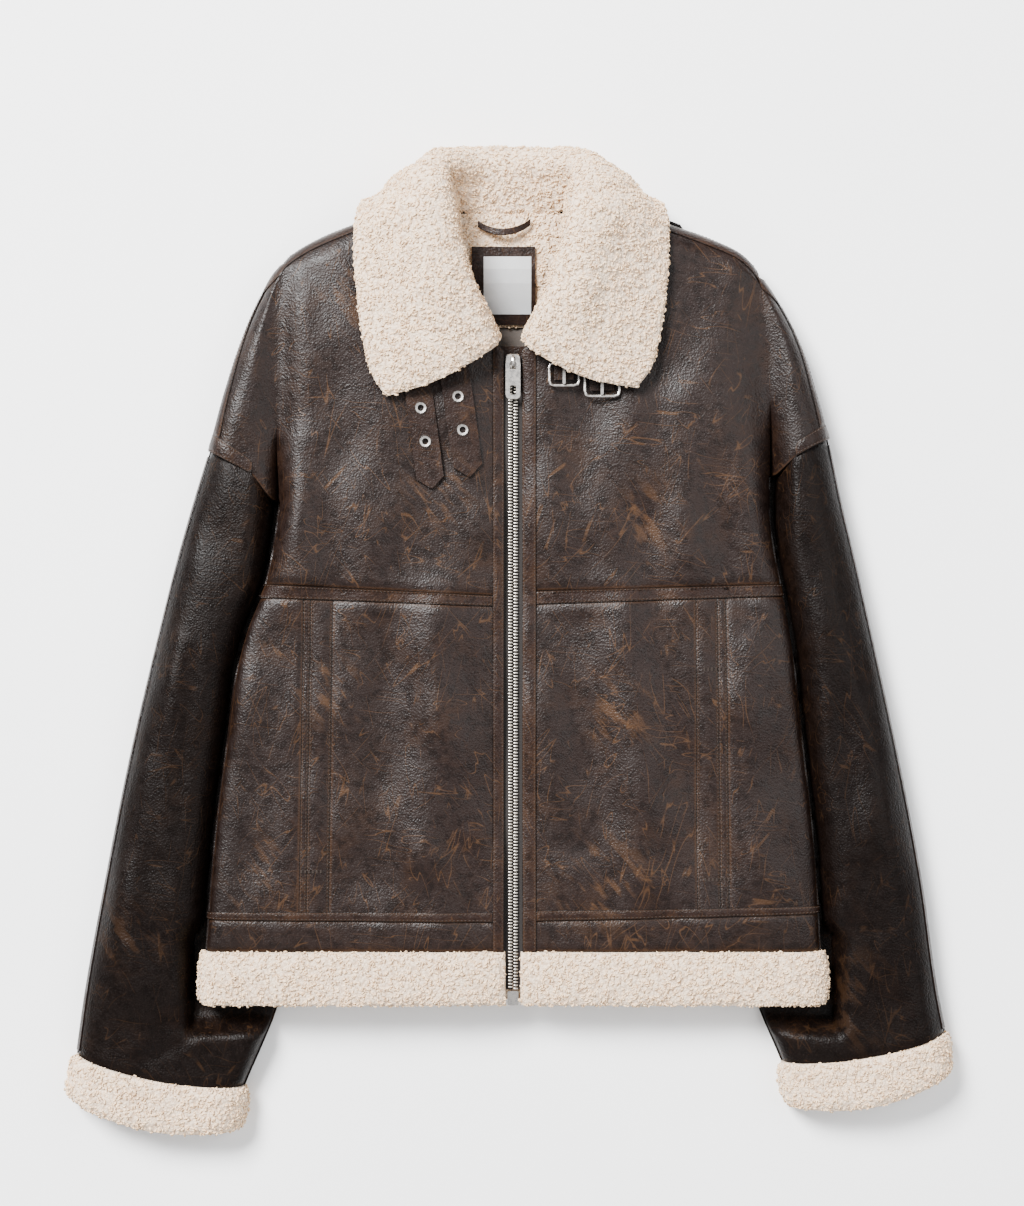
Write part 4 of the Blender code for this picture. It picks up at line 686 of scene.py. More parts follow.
def finer(grid, step, main=None, armhole_row=None, row_counts=None, seam_rows=(), seam_columns=()):
    """The grid split finely with smooth lines through its places, and where its columns and rows came to lie."""
    grid = grid.copy()
    rows, columns = grid.shape[:2]
    if main is not None:
        for row in range(armhole_row + 1, rows):
            grid[row, main + 1:] = grid[armhole_row, main + 1:] + grid[row, main] - grid[armhole_row, main]
    down = np.linalg.norm(np.diff(grid, axis=0), axis=-1).max(axis=1)
    across = np.linalg.norm(np.diff(grid, axis=1), axis=-1).max(axis=0)
    row_knots = np.concatenate([[0], np.cumsum(down)])
    column_knots = np.concatenate([[0], np.cumsum(across)])
    row_places, row_at = fine_steps(row_knots, step, seam_rows, row_counts)
    column_places, column_at = fine_steps(column_knots, step, seam_columns)
    lines = steady_through(row_knots, grid.reshape(rows, -1), row_places)
    lines = lines.reshape(len(row_places), columns, 2).transpose(1, 0, 2).reshape(columns, -1)
    found = steady_through(column_knots, lines, column_places)
    found = found.reshape(len(column_places), len(row_places), 2).transpose(1, 0, 2)
    return found, row_at, column_at


def mask_of(shape, spans):
    """Which cells of a grid lie in any of the spans (first row, last row, first column, last column)."""
    chosen = np.zeros((shape[0] - 1, shape[1] - 1), bool)
    for row_a, row_b, column_a, column_b in spans:
        chosen[row_a:row_b, column_a:column_b] = True
    return chosen


# Where the four corners of each cell lie in a grid, in turn
CORNERS = ((slice(0, -1), slice(0, -1)), (slice(0, -1), slice(1, None)),
           (slice(1, None), slice(1, None)), (slice(1, None), slice(0, -1)))


def corners_of(grid):
    return [grid[rows, columns] for rows, columns in CORNERS]


def closed(grid):
    """A grid whose first column comes again at its end, so that it closes to a ring."""
    return np.concatenate([grid, grid[:, :1]], axis=1)


def all_cells(points):
    return np.ones((points.shape[0] - 1, points.shape[1] - 1), bool)


def grid_normals(points, chosen, ring=False):
    """Vertex normals over the chosen cells of a grid."""
    if ring:
        points = closed(points)
    a, b, c, d = corners_of(points)
    turn = np.where(chosen[..., None], unit(np.cross(c - a, d - b), 1e-12), 0.0)
    normals = np.zeros(points.shape)
    for rows, columns in CORNERS:
        normals[rows, columns] += turn
    if ring:
        normals[:, 0] += normals[:, -1]
        normals = normals[:, :-1]
    return unit(normals, 1e-12)


def shell(name, points, normals, chosen, low, high, material, ring=False, worn=None):
    """A closed wall over the chosen cells, from low to high along the normals. worn, 0 to 1, marks rubbed edges."""
    rows, columns = points.shape[:2]
    number = np.arange(rows * columns).reshape(rows, columns)
    if ring:
        number = closed(number)
    quads = np.stack([corner[chosen] for corner in corners_of(number)], axis=1)
    edges = np.concatenate([quads[:, [0, 1]], quads[:, [1, 2]], quads[:, [2, 3]], quads[:, [3, 0]]])
    keys = np.sort(edges, axis=1)
    _, first, counts = np.unique(keys, axis=0, return_index=True, return_counts=True)
    border = edges[first[counts == 1]]
    total = rows * columns
    sides = np.stack([border[:, 1], border[:, 0], border[:, 0] + total, border[:, 1] + total], axis=1)
    faces = np.concatenate([quads + total, quads[:, ::-1], sides])
    low = np.broadcast_to(low, (rows, columns))[..., None]
    high = np.broadcast_to(high, (rows, columns))[..., None]
    vertices = np.concatenate([(points + normals * low).reshape(-1, 3), (points + normals * high).reshape(-1, 3)])
    used, index = np.unique(faces, return_inverse=True)
    faces = index.reshape(faces.shape)
    vertices = vertices[used]
    corners = vertices[faces]
    volume = np.einsum("ij,ij->", corners[:, 0], np.cross(corners[:, 1], corners[:, 2]))
    volume += np.einsum("ij,ij->", corners[:, 0], np.cross(corners[:, 2], corners[:, 3]))
    if volume < 0:
        faces = faces[:, ::-1]
    made = add_mesh(name, vertices, faces, material)
    made.data.set_sharp_from_angle(angle=SHARP_WALL)
    if worn is not None:
        values = np.tile(np.broadcast_to(worn, (rows, columns)).reshape(-1), 2)[used]
        made.data.attributes.new("worn", "FLOAT", "POINT").data.foreach_set("value", values.astype(np.float32))
    return made


def cloth_area(points, chosen):
    """Area of the chosen cells of a grid."""
    a, b, c, d = corners_of(points)
    halves = np.linalg.norm(np.cross(c - a, d - b), axis=-1) / 2
    return float(halves[chosen].sum())


# Narrowest that a sheet is said to be, and the share of its box below which a bent band counts as a straight strip
LEAST_FLAT, LEAST_FILL = 0.011, 0.35


def lay_sheet(points, chosen):
    """Works out the piece's flat width and length, and its flat area, but keeps none of them."""
    rows, columns = chosen.any(axis=1), chosen.any(axis=0)
    used = points[:-1, :-1][rows][:, columns]
    used = np.where(chosen[rows][:, columns][..., None], used, np.nan)
    spans = np.nanmax(used, axis=(0, 1)) - np.nanmin(used, axis=(0, 1))
    area = cloth_area(points, chosen)
    width, length = max(float(spans[0]), LEAST_FLAT), max(float(spans[1]), LEAST_FLAT)
    if area < LEAST_FILL * width * length:
        length = max(width, length)
        width = max(area / length, LEAST_FLAT)


# Soft unevenness of the leather: small swells at random headings, in metres
SWELLS = []
SWELL_SEED, SWELL_COUNT = 7, 26
swell_random = np.random.default_rng(SWELL_SEED)
for _ in range(SWELL_COUNT):
    heading = swell_random.uniform(0, math.pi)
    wave = swell_random.uniform(0.022, 0.085)
    SWELLS.append((math.cos(heading) / wave, 0.45 * math.sin(heading) / wave, swell_random.uniform(0, 2 * math.pi),
                   0.0055 * wave))


def swell(x, y):
    total = np.zeros(np.shape(x))
    for across, up, phase, height in SWELLS:
        total += height * np.sin(2 * math.pi * (across * x + up * y) + phase)
    return total


# How far leather is pulled in at a seam, and how far from it this reaches
SEAM_DIP = 0.0013
SEAM_DIP_REACH = 0.0036


def seam_dip(points, chosen):
    """How far each place sinks beside the outline of the chosen cells, where the seam pulls it in."""
    rows, columns = points.shape[:2]
    padded = np.zeros((rows + 1, columns + 1), bool)
    padded[1:-1, 1:-1] = chosen
    around = np.stack([padded[:-1, :-1], padded[:-1, 1:], padded[1:, :-1], padded[1:, 1:]])
    border = around.any(axis=0) & ~around.all(axis=0)
    inside = around.any(axis=0)
    edge = points[border][:, :2]
    places = points[inside][:, :2]
    near = np.full(len(places), 1.0)
    for start in range(0, len(edge), 400):
        block = edge[start:start + 400]
        off = np.sqrt(((places[:, None] - block[None]) ** 2).sum(-1))
        near = np.minimum(near, off.min(axis=1))
    dip = np.zeros((rows, columns))
    dip[inside] = SEAM_DIP * (1 - ease(near / SEAM_DIP_REACH))
    return dip


# Materials

def feed(tree, node, sockets):
    """Gives a node's sockets their values or links."""
    for key, value in dict(sockets).items():
        if isinstance(value, bpy.types.NodeSocket):
            tree.links.new(value, node.inputs[key])
        else:
            node.inputs[key].default_value = value


def put(tree, kind, sockets=(), **settings):
    """Adds a node, with its settings and the values or links of its sockets, and returns its outputs."""
    node = tree.nodes.new("ShaderNode" + kind)
    for name, value in settings.items():
        setattr(node, name, value)
    feed(tree, node, sockets)
    return node.outputs


def new_material(name):
    """A new material with its nodes, its shader and the places on the piece that wears it."""
    made = bpy.data.materials.new(name)
    made.use_nodes = True
    tree = made.node_tree
    return made, tree, tree.nodes["Principled BSDF"], put(tree, "TexCoord")["Object"]


def bumped(tree, strength, distance, height, **under):
    sockets = {"Strength": strength, "Distance": distance, "Height": height}
    return put(tree, "Bump", dict(sockets, **under))["Normal"]


def times(tree, first, second):
    return maths(tree, "MULTIPLY", first, second)


def noise(tree, place, scale, detail=3.0, rough=0.55, warp=0.0):
    sockets = {"Vector": place, "Scale": scale, "Detail": detail, "Roughness": rough, "Distortion": warp}
    return put(tree, "TexNoise", sockets)["Fac"]


def step_up(tree, value, low, high, bottom=0.0, top=1.0):
    sockets = {"Value": value, "From Min": low, "From Max": high, "To Min": bottom, "To Max": top}
    return put(tree, "MapRange", sockets, interpolation_type="SMOOTHSTEP")["Result"]


def maths(tree, operation, first, second):
    return put(tree, "Math", {0: first, 1: second}, operation=operation)["Value"]


def mixed(tree, share, first, second):
    return put(tree, "Mix", {0: share, 6: first, 7: second}, data_type="RGBA")[2]


def drawn_out(tree, place, turn, length):
    """Places turned by an angle and then shrunk along the turned Y, so that a texture is drawn out along it."""
    sockets = {"Vector": place, "Rotation": (0.0, 0.0, turn), "Scale": (1.0, length, 1.0)}
    return put(tree, "Mapping", sockets, vector_type="TEXTURE")["Vector"]


def hair_lines(tree, place, turn, scale, width):
    """Long fine scratches at one heading, 1 on the line: contours of a noise drawn out along them."""
    drawn = noise(tree, drawn_out(tree, place, turn, 9.0), scale, 1.0, 0.5)
    off = maths(tree, "ABSOLUTE", maths(tree, "SUBTRACT", drawn, 0.5), 0.0)
    return step_up(tree, off, 0.0, width, 1.0, 0.0)


# Places on the leather that are rubbed to a lighter brown: x, y, radius, in metres
RUBBED = [(-0.152, -0.042, 0.030), (0.078, -0.204, 0.040), (0.281, -0.305, 0.045), (-0.207, -0.204, 0.035),
          (-0.060, 0.130, 0.030), (0.120, 0.105, 0.028), (-0.130, 0.290, 0.030), (-0.320, -0.250, 0.030),
          (0.095, -0.060, 0.030)]


def rubbed_places(tree, place):
    """1 in the middle of each rubbed place, falling to 0 round it."""
    total = None
    for x, y, radius in RUBBED:
        away = put(tree, "VectorMath", {0: place, 1: (x, y, 0.04)}, operation="DISTANCE")["Value"]
        near = step_up(tree, away, radius * 0.3, radius * 1.5, 1.0, 0.0)
        total = near if total is None else maths(tree, "MAXIMUM", total, near)
    return total


# Headings of the scratches, how close they lie, their width and a shift that sets their patches apart
HAIR_LINES = [(0.62, 80.0, 0.0105, 3.0), (-0.75, 66.0, 0.0090, 11.0), (1.45, 90.0, 0.0105, 23.0),
              (0.12, 74.0, 0.0090, 37.0), (-0.30, 70.0, 0.0090, 51.0)]


# Tones of rubbed places, of the haze of flecks, of scratches, beside seams and in the seams themselves
RUBBED_TONE, HAZE_TONE = (0.040, 0.019, 0.0085, 1.0), (0.022, 0.016, 0.014, 1.0)
SCRATCH_TONE, BESIDE_SEAM_TONE = (0.056, 0.027, 0.0115, 1.0), (0.0265, 0.0120, 0.0055, 1.0)
SEAM_TONE = (0.0016, 0.0009, 0.0007, 1.0)


def leather_finish(name, base, brown, wear, shine):
    """Distressed pull-up leather: mottled, flecked, with long fine scratches in patches, rubbed in places, and with
    painted shade darkening it towards the garment's sides.
    """
    made, tree, shader, place = new_material(name)
    patch = noise(tree, place, 26.0, 4.0, 0.62, 0.4)
    cloud = noise(tree, place, 110.0, 3.0, 0.7)
    fleck = noise(tree, place, 680.0, 2.0, 0.7)
    streak = noise(tree, drawn_out(tree, place, 0.75, 4.0), 95.0, 3.0, 0.65)
    colour = mixed(tree, step_up(tree, patch, 0.46, 0.72, 0.0, 0.85), base, brown)
    dark = tuple(value * 0.4 for value in base[:3]) + (1.0,)
    colour = mixed(tree, step_up(tree, cloud, 0.55, 0.36, 0.0, 0.7), colour, dark)
    rubbed = times(tree, rubbed_places(tree, place), step_up(tree, streak, 0.50, 0.64))
    colour = mixed(tree, times(tree, rubbed, 0.8 * wear), colour, RUBBED_TONE)
    haze = times(tree, step_up(tree, fleck, 0.50, 0.68), step_up(tree, patch, 0.62, 0.38, 0.25, 1.0))
    colour = mixed(tree, times(tree, haze, 0.35), colour, HAZE_TONE)
    lines = None
    for turn, scale, width, shift in HAIR_LINES:
        aside = put(tree, "VectorMath", {0: place, 1: (shift, shift, shift)}, operation="ADD")["Vector"]
        where = step_up(tree, noise(tree, aside, 26.0, 3.0, 0.6), 0.50, 0.60)
        found = times(tree, hair_lines(tree, aside, turn, scale, width), where)
        lines = found if lines is None else maths(tree, "MAXIMUM", lines, found)
    colour = mixed(tree, times(tree, lines, 0.62 * wear), colour, SCRATCH_TONE)
    # Painted shade: the leather is mixed towards its dark tone the farther it lies out to the garment's sides,
    # standing in for the shade where the surfaces turn from the light.
    aside = maths(tree, "ABSOLUTE", put(tree, "SeparateXYZ", {0: place})["X"], 0.0)
    colour = mixed(tree, step_up(tree, aside, 0.17, 0.27, 0.0, 0.55), colour, dark)
    near_seam = put(tree, "Attribute", attribute_name="worn")["Fac"]
    worn = times(tree, step_up(tree, near_seam, 0.30, 0.85), step_up(tree, patch, 0.35, 0.60, 0.25, 0.9))
    colour = mixed(tree, worn, colour, BESIDE_SEAM_TONE)
    colour = mixed(tree, step_up(tree, near_seam, 0.80, 1.0, 0.0, 0.9), colour, SEAM_TONE)
    cell = put(tree, "TexVoronoi", {"Vector": place, "Scale": 560.0}, feature="F1")["Distance"]
    fine = bumped(tree, 0.5, 0.0005, maths(tree, "ADD", cell, fleck))
    wrinkle = noise(tree, drawn_out(tree, place, 0.12, 2.2), 130.0, 3.0, 0.6, 0.5)
    feed(tree, shader, {"Base Color": colour, "Roughness": step_up(tree, cloud, 0.35, 0.70, 0.33, 0.47),
                        "Specular IOR Level": shine, "Normal": bumped(tree, 0.30, 0.0014, wrinkle, Normal=fine)})
    return made


def borg_finish(name, light, shade, deep):
    """Curly cream pile. Each curl has its own tone, and painted shade darkens it between the curls."""
    made, tree, shader, place = new_material(name)
    own = put(tree, "NewGeometry")["Random Per Island"]
    bent = put(tree, "VectorMath", {0: place, 1: times(tree, noise(tree, place, 260.0, 1.0), 0.004)},
               operation="ADD")["Vector"]
    cell = put(tree, "TexVoronoi", {"Vector": bent, "Scale": 430.0}, feature="F1")["Distance"]
    colour = mixed(tree, times(tree, own, 0.7), light, shade)
    # Painted shade: darker towards the edges of the cells, which stand for the gaps between the curls.
    colour = mixed(tree, step_up(tree, cell, 0.30, 0.90, 0.0, 0.70), colour, deep)
    normal = bumped(tree, 0.8, 0.0011, maths(tree, "SUBTRACT", 1.0, cell))
    feed(tree, shader, {"Base Color": colour, "Roughness": 0.92, "Specular IOR Level": 0.15, "Sheen Weight": 0.25,
                        "Sheen Roughness": 0.5, "Normal": normal})
    return made


# How deep the bumps of the plain and the woven finishes are
BUMP_DISTANCE = 0.0002


def plain_finish(name, colour, other, rough, scale, metallic=0.0, bump=0.15):
    """A finish of two tones in fine mottling, with a slight unevenness of its surface."""
    made, tree, shader, place = new_material(name)
    fine = noise(tree, place, scale, 4.0, 0.6)
    feed(tree, shader, {"Base Color": mixed(tree, step_up(tree, fine, 0.38, 0.64), colour, other),
                        "Roughness": step_up(tree, fine, 0.3, 0.7, rough[0], rough[1]), "Metallic": metallic,
                        "Normal": bumped(tree, bump, BUMP_DISTANCE, fine)})
    return made


def woven_finish(name, colour, other, pitch, rough):
    """Cloth of crossing threads at the given pitch in metres."""
    made, tree, shader, place = new_material(name)
    scale = 2 * math.pi / pitch / 20
    threads = [put(tree, "TexWave", {"Vector": place, "Scale": scale, "Distortion": 0.4}, bands_direction=way)["Fac"]
               for way in ("X", "Y")]
    weave = times(tree, threads[0], threads[1])
    cloud = noise(tree, place, 60.0, 3.0)
    tone = mixed(tree, step_up(tree, cloud, 0.35, 0.65), colour, other)
    # Painted shade: the cloth is darker in the gaps between the crossing threads.
    dark = tuple(value * 0.6 for value in colour[:3]) + (1.0,)
    feed(tree, shader, {"Base Color": mixed(tree, step_up(tree, weave, 0.0, 0.5), dark, tone), "Roughness": rough,
                        "Normal": bumped(tree, 0.35, BUMP_DISTANCE, weave)})
    return made


# Each leather has its dark and its brown tone, its share of wear and its shine.
LEATHER_FINISH = leather_finish("distressed_leather", (0.0088, 0.0045, 0.0034, 1), (0.0155, 0.0072, 0.0040, 1),
                                1.0, 0.165)
TRIM_FINISH = leather_finish("trim_leather", (0.0115, 0.0052, 0.0035, 1), (0.0230, 0.0098, 0.0043, 1), 0.7, 0.15)
# Painted shade: the sleeves' leather is a darker copy of the body's, standing in for the shade on the sleeves where
# they curve away from the light.
SHADED_SLEEVE_FINISH = leather_finish("sleeve_leather_painted_shade", (0.0044, 0.0024, 0.0018, 1), (0.0090, 0.0042, 0.0023, 1), 0.7, 0.070)
# The third tone of each borg finish is painted shade between the curls.
BORG_FINISH = borg_finish("borg_pile", (0.96, 0.725, 0.475, 1), (0.81, 0.555, 0.325, 1), (0.38, 0.215, 0.10, 1))
# Painted shade: the base under the curls is a darker copy of the pile, standing in for the shade beneath them.
SHADED_BORG_BASE_FINISH = borg_finish("borg_base", (0.76, 0.60, 0.45, 1), (0.64, 0.49, 0.35, 1), (0.32, 0.20, 0.12, 1))
METAL_FINISH = plain_finish("nickel", (0.58, 0.55, 0.52, 1), (0.42, 0.39, 0.36, 1), (0.22, 0.40), 420.0, 1.0, 0.2)
TEETH_FINISH = plain_finish("zip_metal", (0.62, 0.58, 0.52, 1), (0.48, 0.43, 0.37, 1), (0.25, 0.42), 500.0, 1.0, 0.2)
TAPE_FINISH = woven_finish("zip_tape_cloth", (0.0075, 0.0045, 0.0035, 1), (0.011, 0.007, 0.005, 1), 0.0007, 0.85)
SATIN_FINISH = woven_finish("satin_label", (0.50, 0.51, 0.52, 1), (0.58, 0.59, 0.60, 1), 0.0005, 0.38)
LINING_FINISH = woven_finish("body_lining", (0.10, 0.078, 0.062, 1), (0.13, 0.10, 0.08, 1), 0.0008, 0.55)
THREAD_FINISH = plain_finish("sewing_thread", (0.026, 0.014, 0.008, 1), (0.016, 0.009, 0.006, 1), (0.60, 0.75), 1500.0)

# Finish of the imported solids, by the start of their names
NODE_FINISHES = [
    ("zip_tape", TAPE_FINISH), ("zip_guard", TRIM_FINISH), ("zip_slider", METAL_FINISH),
    ("zip_pull_tab", METAL_FINISH), ("zip_box", METAL_FINISH), ("strap_", TRIM_FINISH), ("buckle_tab", TRIM_FINISH),
    ("buckle_", METAL_FINISH), ("prong_", METAL_FINISH), ("eyelet_", METAL_FINISH), ("label_patch", TRIM_FINISH),
    ("label", SATIN_FINISH), ("lining", LINING_FINISH), ("hanger_loop", TRIM_FINISH),
]


def finish_nodes():
    """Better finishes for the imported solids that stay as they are."""
    for name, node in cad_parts.items():
        finish = next((finish for start, finish in NODE_FINISHES if name.startswith(start)), None)
        if finish is not None:
            for holder in node.material_slots:
                holder.material = finish


# Leather panels

# Most that rows and columns lie apart, on the faces that show and on the back
LEATHER_STEP = 0.0052
HIDDEN_STEP = 0.009


def front_face(side, out, y):
    """Height of the fronts with their soft unevenness, which fades towards the seams with the back."""
    side_pull, top_pull = edge_shares(side, out, y)
    free = 1 - np.maximum(side_pull, top_pull)
    return front_z(side, out, y) + swell(ZIP_X + side * out, y) * free


def leather_piece(name, points, normals, chosen, low, high, finish, stands_for=None, worn=None):
    """One cut piece of leather, which may stand for a plain wall of the part."""
    piece = shell(name, points, normals, chosen, low, high, finish, worn=worn)
    if stands_for is not None:
        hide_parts(stands_for)
    lay_sheet(points, chosen)


def panel(name, points, normals, chosen, finish, dip=True):
    """A panel of the jacket's body or sleeves, pulled in beside its seams."""
    sunk = seam_dip(points, chosen) if dip else 0.0
    worn = None if finish is SHADED_SLEEVE_FINISH else sunk / SEAM_DIP
    leather_piece(name + "_skin", points, normals, chosen, -LEATHER, -sunk, finish, name, worn)


# Shares of a seam's dip by which the long edges of a band roll down, and that the band fills below itself
BAND_ROLL, BAND_UNDER = 0.60, 0.8


def band_of(name, points, normals, chosen, low, high):
    """A narrow strip of leather sewn on over a seam, with its long edges rolled down."""
    rolled = seam_dip(points, chosen) * BAND_ROLL
    low = low - SEAM_DIP * BAND_UNDER
    worn = rolled / (SEAM_DIP * BAND_ROLL)
    leather_piece(name + "_skin", points, normals, chosen, low, high - rolled, TRIM_FINISH, name, worn=worn)


# Columns across the plackets, as shares of their width
PLACKET_SHARES = np.array([0.0, 0.12, 0.35, 0.65, 0.88, 1.0])
# How far the rolled edge of a band lies below its face, where it is sewn
BAND_SINK = 0.0002
# Heights up the garment of the two ends of each pocket
POCKET_ENDS = {RIGHT: (-0.0219, -0.1962), LEFT: (-0.0253, -0.2030)}


def bar_tack(side, y, out_a, out_b):
    """Close stitches across the end of a pocket."""
    outs = np.linspace(out_a, out_b, 8)
    for step in range(4):
        places = np.stack([outs, np.full(8, y + step * 0.0007)], axis=-1)[None]
        line = raise_grid(side, places, front_face)[0]
        sew(line, np.tile([0.0, 0.0, 1.0], (8, 1)), 0.0002)


def facing_up(points, chosen, where, up=True, ring=False):
    """Vertex normals, all turned over if the one at this place points the wrong way."""
    normals = grid_normals(points, chosen, ring)
    sign = 1.0 if (normals[where][2] > 0) == up else -1.0
    return normals * sign


def dress_front(side):
    """One front: its panels, the bands over its seams, its pocket and its placket, all sewn."""
    word = SIDES[side]
    plan, armhole_row = upper_grid(side, lambda y: FRONT_COLUMNS[side], UPPER_SPREAD)
    main = len(FRONT_COLUMNS[side]) + len(EDGE_STEPS) - 1
    rows = len(plan)
    plan, row_at, column_at = finer(plan, LEATHER_STEP, main, armhole_row, None,
                                    (0, 2, armhole_row - 1, armhole_row, rows - 2, rows - 1),
                                    (0, 1, plan.shape[1] - 3, plan.shape[1] - 1))
    last, edge = row_at[-2], column_at[-1]
    armhole, fold = row_at[armhole_row], column_at[main]
    upper = raise_grid(side, plan, front_face)
    whole = mask_of(plan.shape, [(0, last, 0, fold), (0, armhole, fold, edge)])
    normals = facing_up(upper, whole, (10, 10))
    normals = square_to_seams(side, plan, normals)
    panel("front_upper_" + word, upper, normals, whole, LEATHER_FINISH)
    lift, top = SEAM_GAP, SEAM_GAP + BAND_THICK
    neck = column_at[NECK_POINT_COLUMN + 1]
    shoulder = mask_of(plan.shape, [(0, row_at[2], neck, edge),
                                    (row_at[2], row_at[armhole_row - 1], column_at[-3], edge)])
    band_of("shoulder_band_" + word, upper, normals, shoulder, lift, top)
    band_of("armhole_band_" + word, upper, normals,
            mask_of(plan.shape, [(row_at[armhole_row - 1], armhole, column_at[main + 1], edge)]), lift, top)
    band_of("chest_band_" + word, upper, normals,
            mask_of(plan.shape, [(last, row_at[-1], column_at[1], fold)]), lift, top)
    sewn = top - BAND_SINK
    sew_band(upper, normals, (last, row_at[-1]), (column_at[1], fold), sewn)
    sew_band(upper, normals, (0, row_at[2]), (neck, edge), sewn)
    sew_band(upper, normals, (row_at[2], row_at[armhole_row - 1]), (column_at[-3], edge), sewn, along_rows=False)
    sew_band(upper, normals, (row_at[armhole_row - 1], armhole), (column_at[main + 1], edge), sewn)

    lines = [FRONT_EDGE[side], PLACKET_LINE[side], (0.048, 0.048), (0.074, 0.074), (0.100, 0.100),
             (0.127, 0.127), FACING_LINE[side], WELT_INNER[side], WELT_OUTER[side]]
    plan_low = lower_grid(side, front_lines(lines), LOWER_SPREAD)
    plan_low, low_at, low_column = finer(plan_low, LEATHER_STEP, None, None, None,
                                         (0, LOWER_SPREAD, LOWER_SPREAD + 1, LOWER_SPREAD + 2), (0, 1, 6, 7, 8))
    lower = raise_grid(side, plan_low, front_face)
    shape = plan_low.shape
    low_normals = facing_up(lower, all_cells(lower), (10, 10))
    low_normals = square_to_seams(side, plan_low, low_normals)
    end = low_at[LOWER_SPREAD + 1]
    panels = {"front_lower": (0, 6), "pocket_facing": (6, 7), "pocket_welt": (7, 8), "side_panel": (8, -1)}
    for name, (first, final) in panels.items():
        chosen = mask_of(shape, [(0, end, low_column[first], low_column[final])])
        panel(name + "_" + word, lower, low_normals, chosen, LEATHER_FINISH)
    panel("hem_leather_" + word, lower, low_normals, mask_of(shape, [(end, low_at[-1], 0, low_column[-1])]),
          LEATHER_FINISH)
    band_of("hem_band_" + word, lower, low_normals,
            mask_of(shape, [(low_at[LOWER_SPREAD], end, low_column[1], low_column[-1])]), lift, top)
    sew_band(lower, low_normals, (low_at[LOWER_SPREAD], end), (low_column[1], low_column[-1]), sewn)
    for first in (6, 7):
        sew_band(lower, low_normals, (0, low_at[LOWER_SPREAD]), (low_column[first], low_column[first + 1]),
                 -BAND_SINK, along_rows=False)
    for y in POCKET_ENDS[side]:
        share = (CHEST_SEAM[side][0] - y) / (CHEST_SEAM[side][0] - HEM_END_Y)
        bar_tack(side, y, between(FACING_LINE[side], share) + 0.004, between(WELT_OUTER[side], share) + 0.001)

    edges = [np.concatenate([plan[:last + 1, upper_column], plan_low[1:, low_column_at]])
             for upper_column, low_column_at in ((0, 0), (column_at[1], low_column[1]))]
    strip_plan = edges[0][:, None] + (edges[1] - edges[0])[:, None] * PLACKET_SHARES[:, None]
    strip = raise_grid(side, strip_plan, front_face)
    chosen = all_cells(strip)
    strip_normals = facing_up(strip, chosen, (10, 1))
    band_of("placket_" + word, strip, strip_normals, chosen, SEAM_GAP, SEAM_GAP + PLACKET_THICK)
    sew_band(strip, strip_normals, (0, len(strip) - 1), (0, strip.shape[1] - 1), sewn, along_rows=False)


def dress_back():
    """The back panel in one piece, over both caps, lying flat on the surface."""
    halves, masks, plans, row_counts = {}, {}, {}, None
    for side in SIDES:
        plan, armhole_row = upper_grid(side, lambda y, s=side: back_columns(s, y), BACK_UPPER_SPREAD, back=True)
        low = lower_grid(side, lambda down, y, s=side: back_columns(s, y), BACK_LOWER_SPREAD)[1:]
        empty = np.full((low.shape[0], plan.shape[1] - low.shape[1], 2), np.nan)
        main = low.shape[1] - 1
        plan = np.concatenate([plan[:-1], np.concatenate([low, empty], axis=1)])
        plan, row_at, column_at = finer(plan, HIDDEN_STEP, main, armhole_row, row_counts)
        row_counts = np.diff(row_at)
        plans[side] = plan
        halves[side] = raise_grid(side, plan, back_z)
        masks[side] = mask_of(plan.shape, [(0, row_at[-1], 0, column_at[main]),
                                           (0, row_at[armhole_row], column_at[main], column_at[-1])])
    right, left = halves[RIGHT], halves[LEFT]
    centre = (right[:, :1] + left[:, :1]) / 2
    points = np.concatenate([right[:, :0:-1], centre, left[:, 1:]], axis=1)
    chosen = np.concatenate([masks[RIGHT][:, ::-1], masks[LEFT]], axis=1)
    middle = right.shape[1] - 1
    normals = facing_up(points, chosen, (len(points) // 2, middle), up=False)
    normals[:, :middle + 1] = square_to_seams(RIGHT, plans[RIGHT][:, ::-1], normals[:, :middle + 1])
    normals[:, middle:] = square_to_seams(LEFT, plans[LEFT], normals[:, middle:])
    panel("back_panel", points, normals, chosen, LEATHER_FINISH, dip=False)


# Sleeves

# Rows along a sleeve's front; its back has a third of them
SLEEVE_ROWS = 118
# Width of the seam band along a sleeve, its share by which the last column may lie beyond it, and its thickness
SLEEVE_BAND, SLEEVE_BAND_REACH, SLEEVE_BAND_THICK = 0.0042, 1.8, 0.0008


def split_shares(shares, pieces):
    """Shares across the sleeve with each stretch split into the same number of pieces."""
    shares = np.asarray(shares, float)
    places = np.linspace(0, len(shares) - 1, (len(shares) - 1) * pieces + 1)
    return np.interp(places, np.arange(len(shares)), shares)


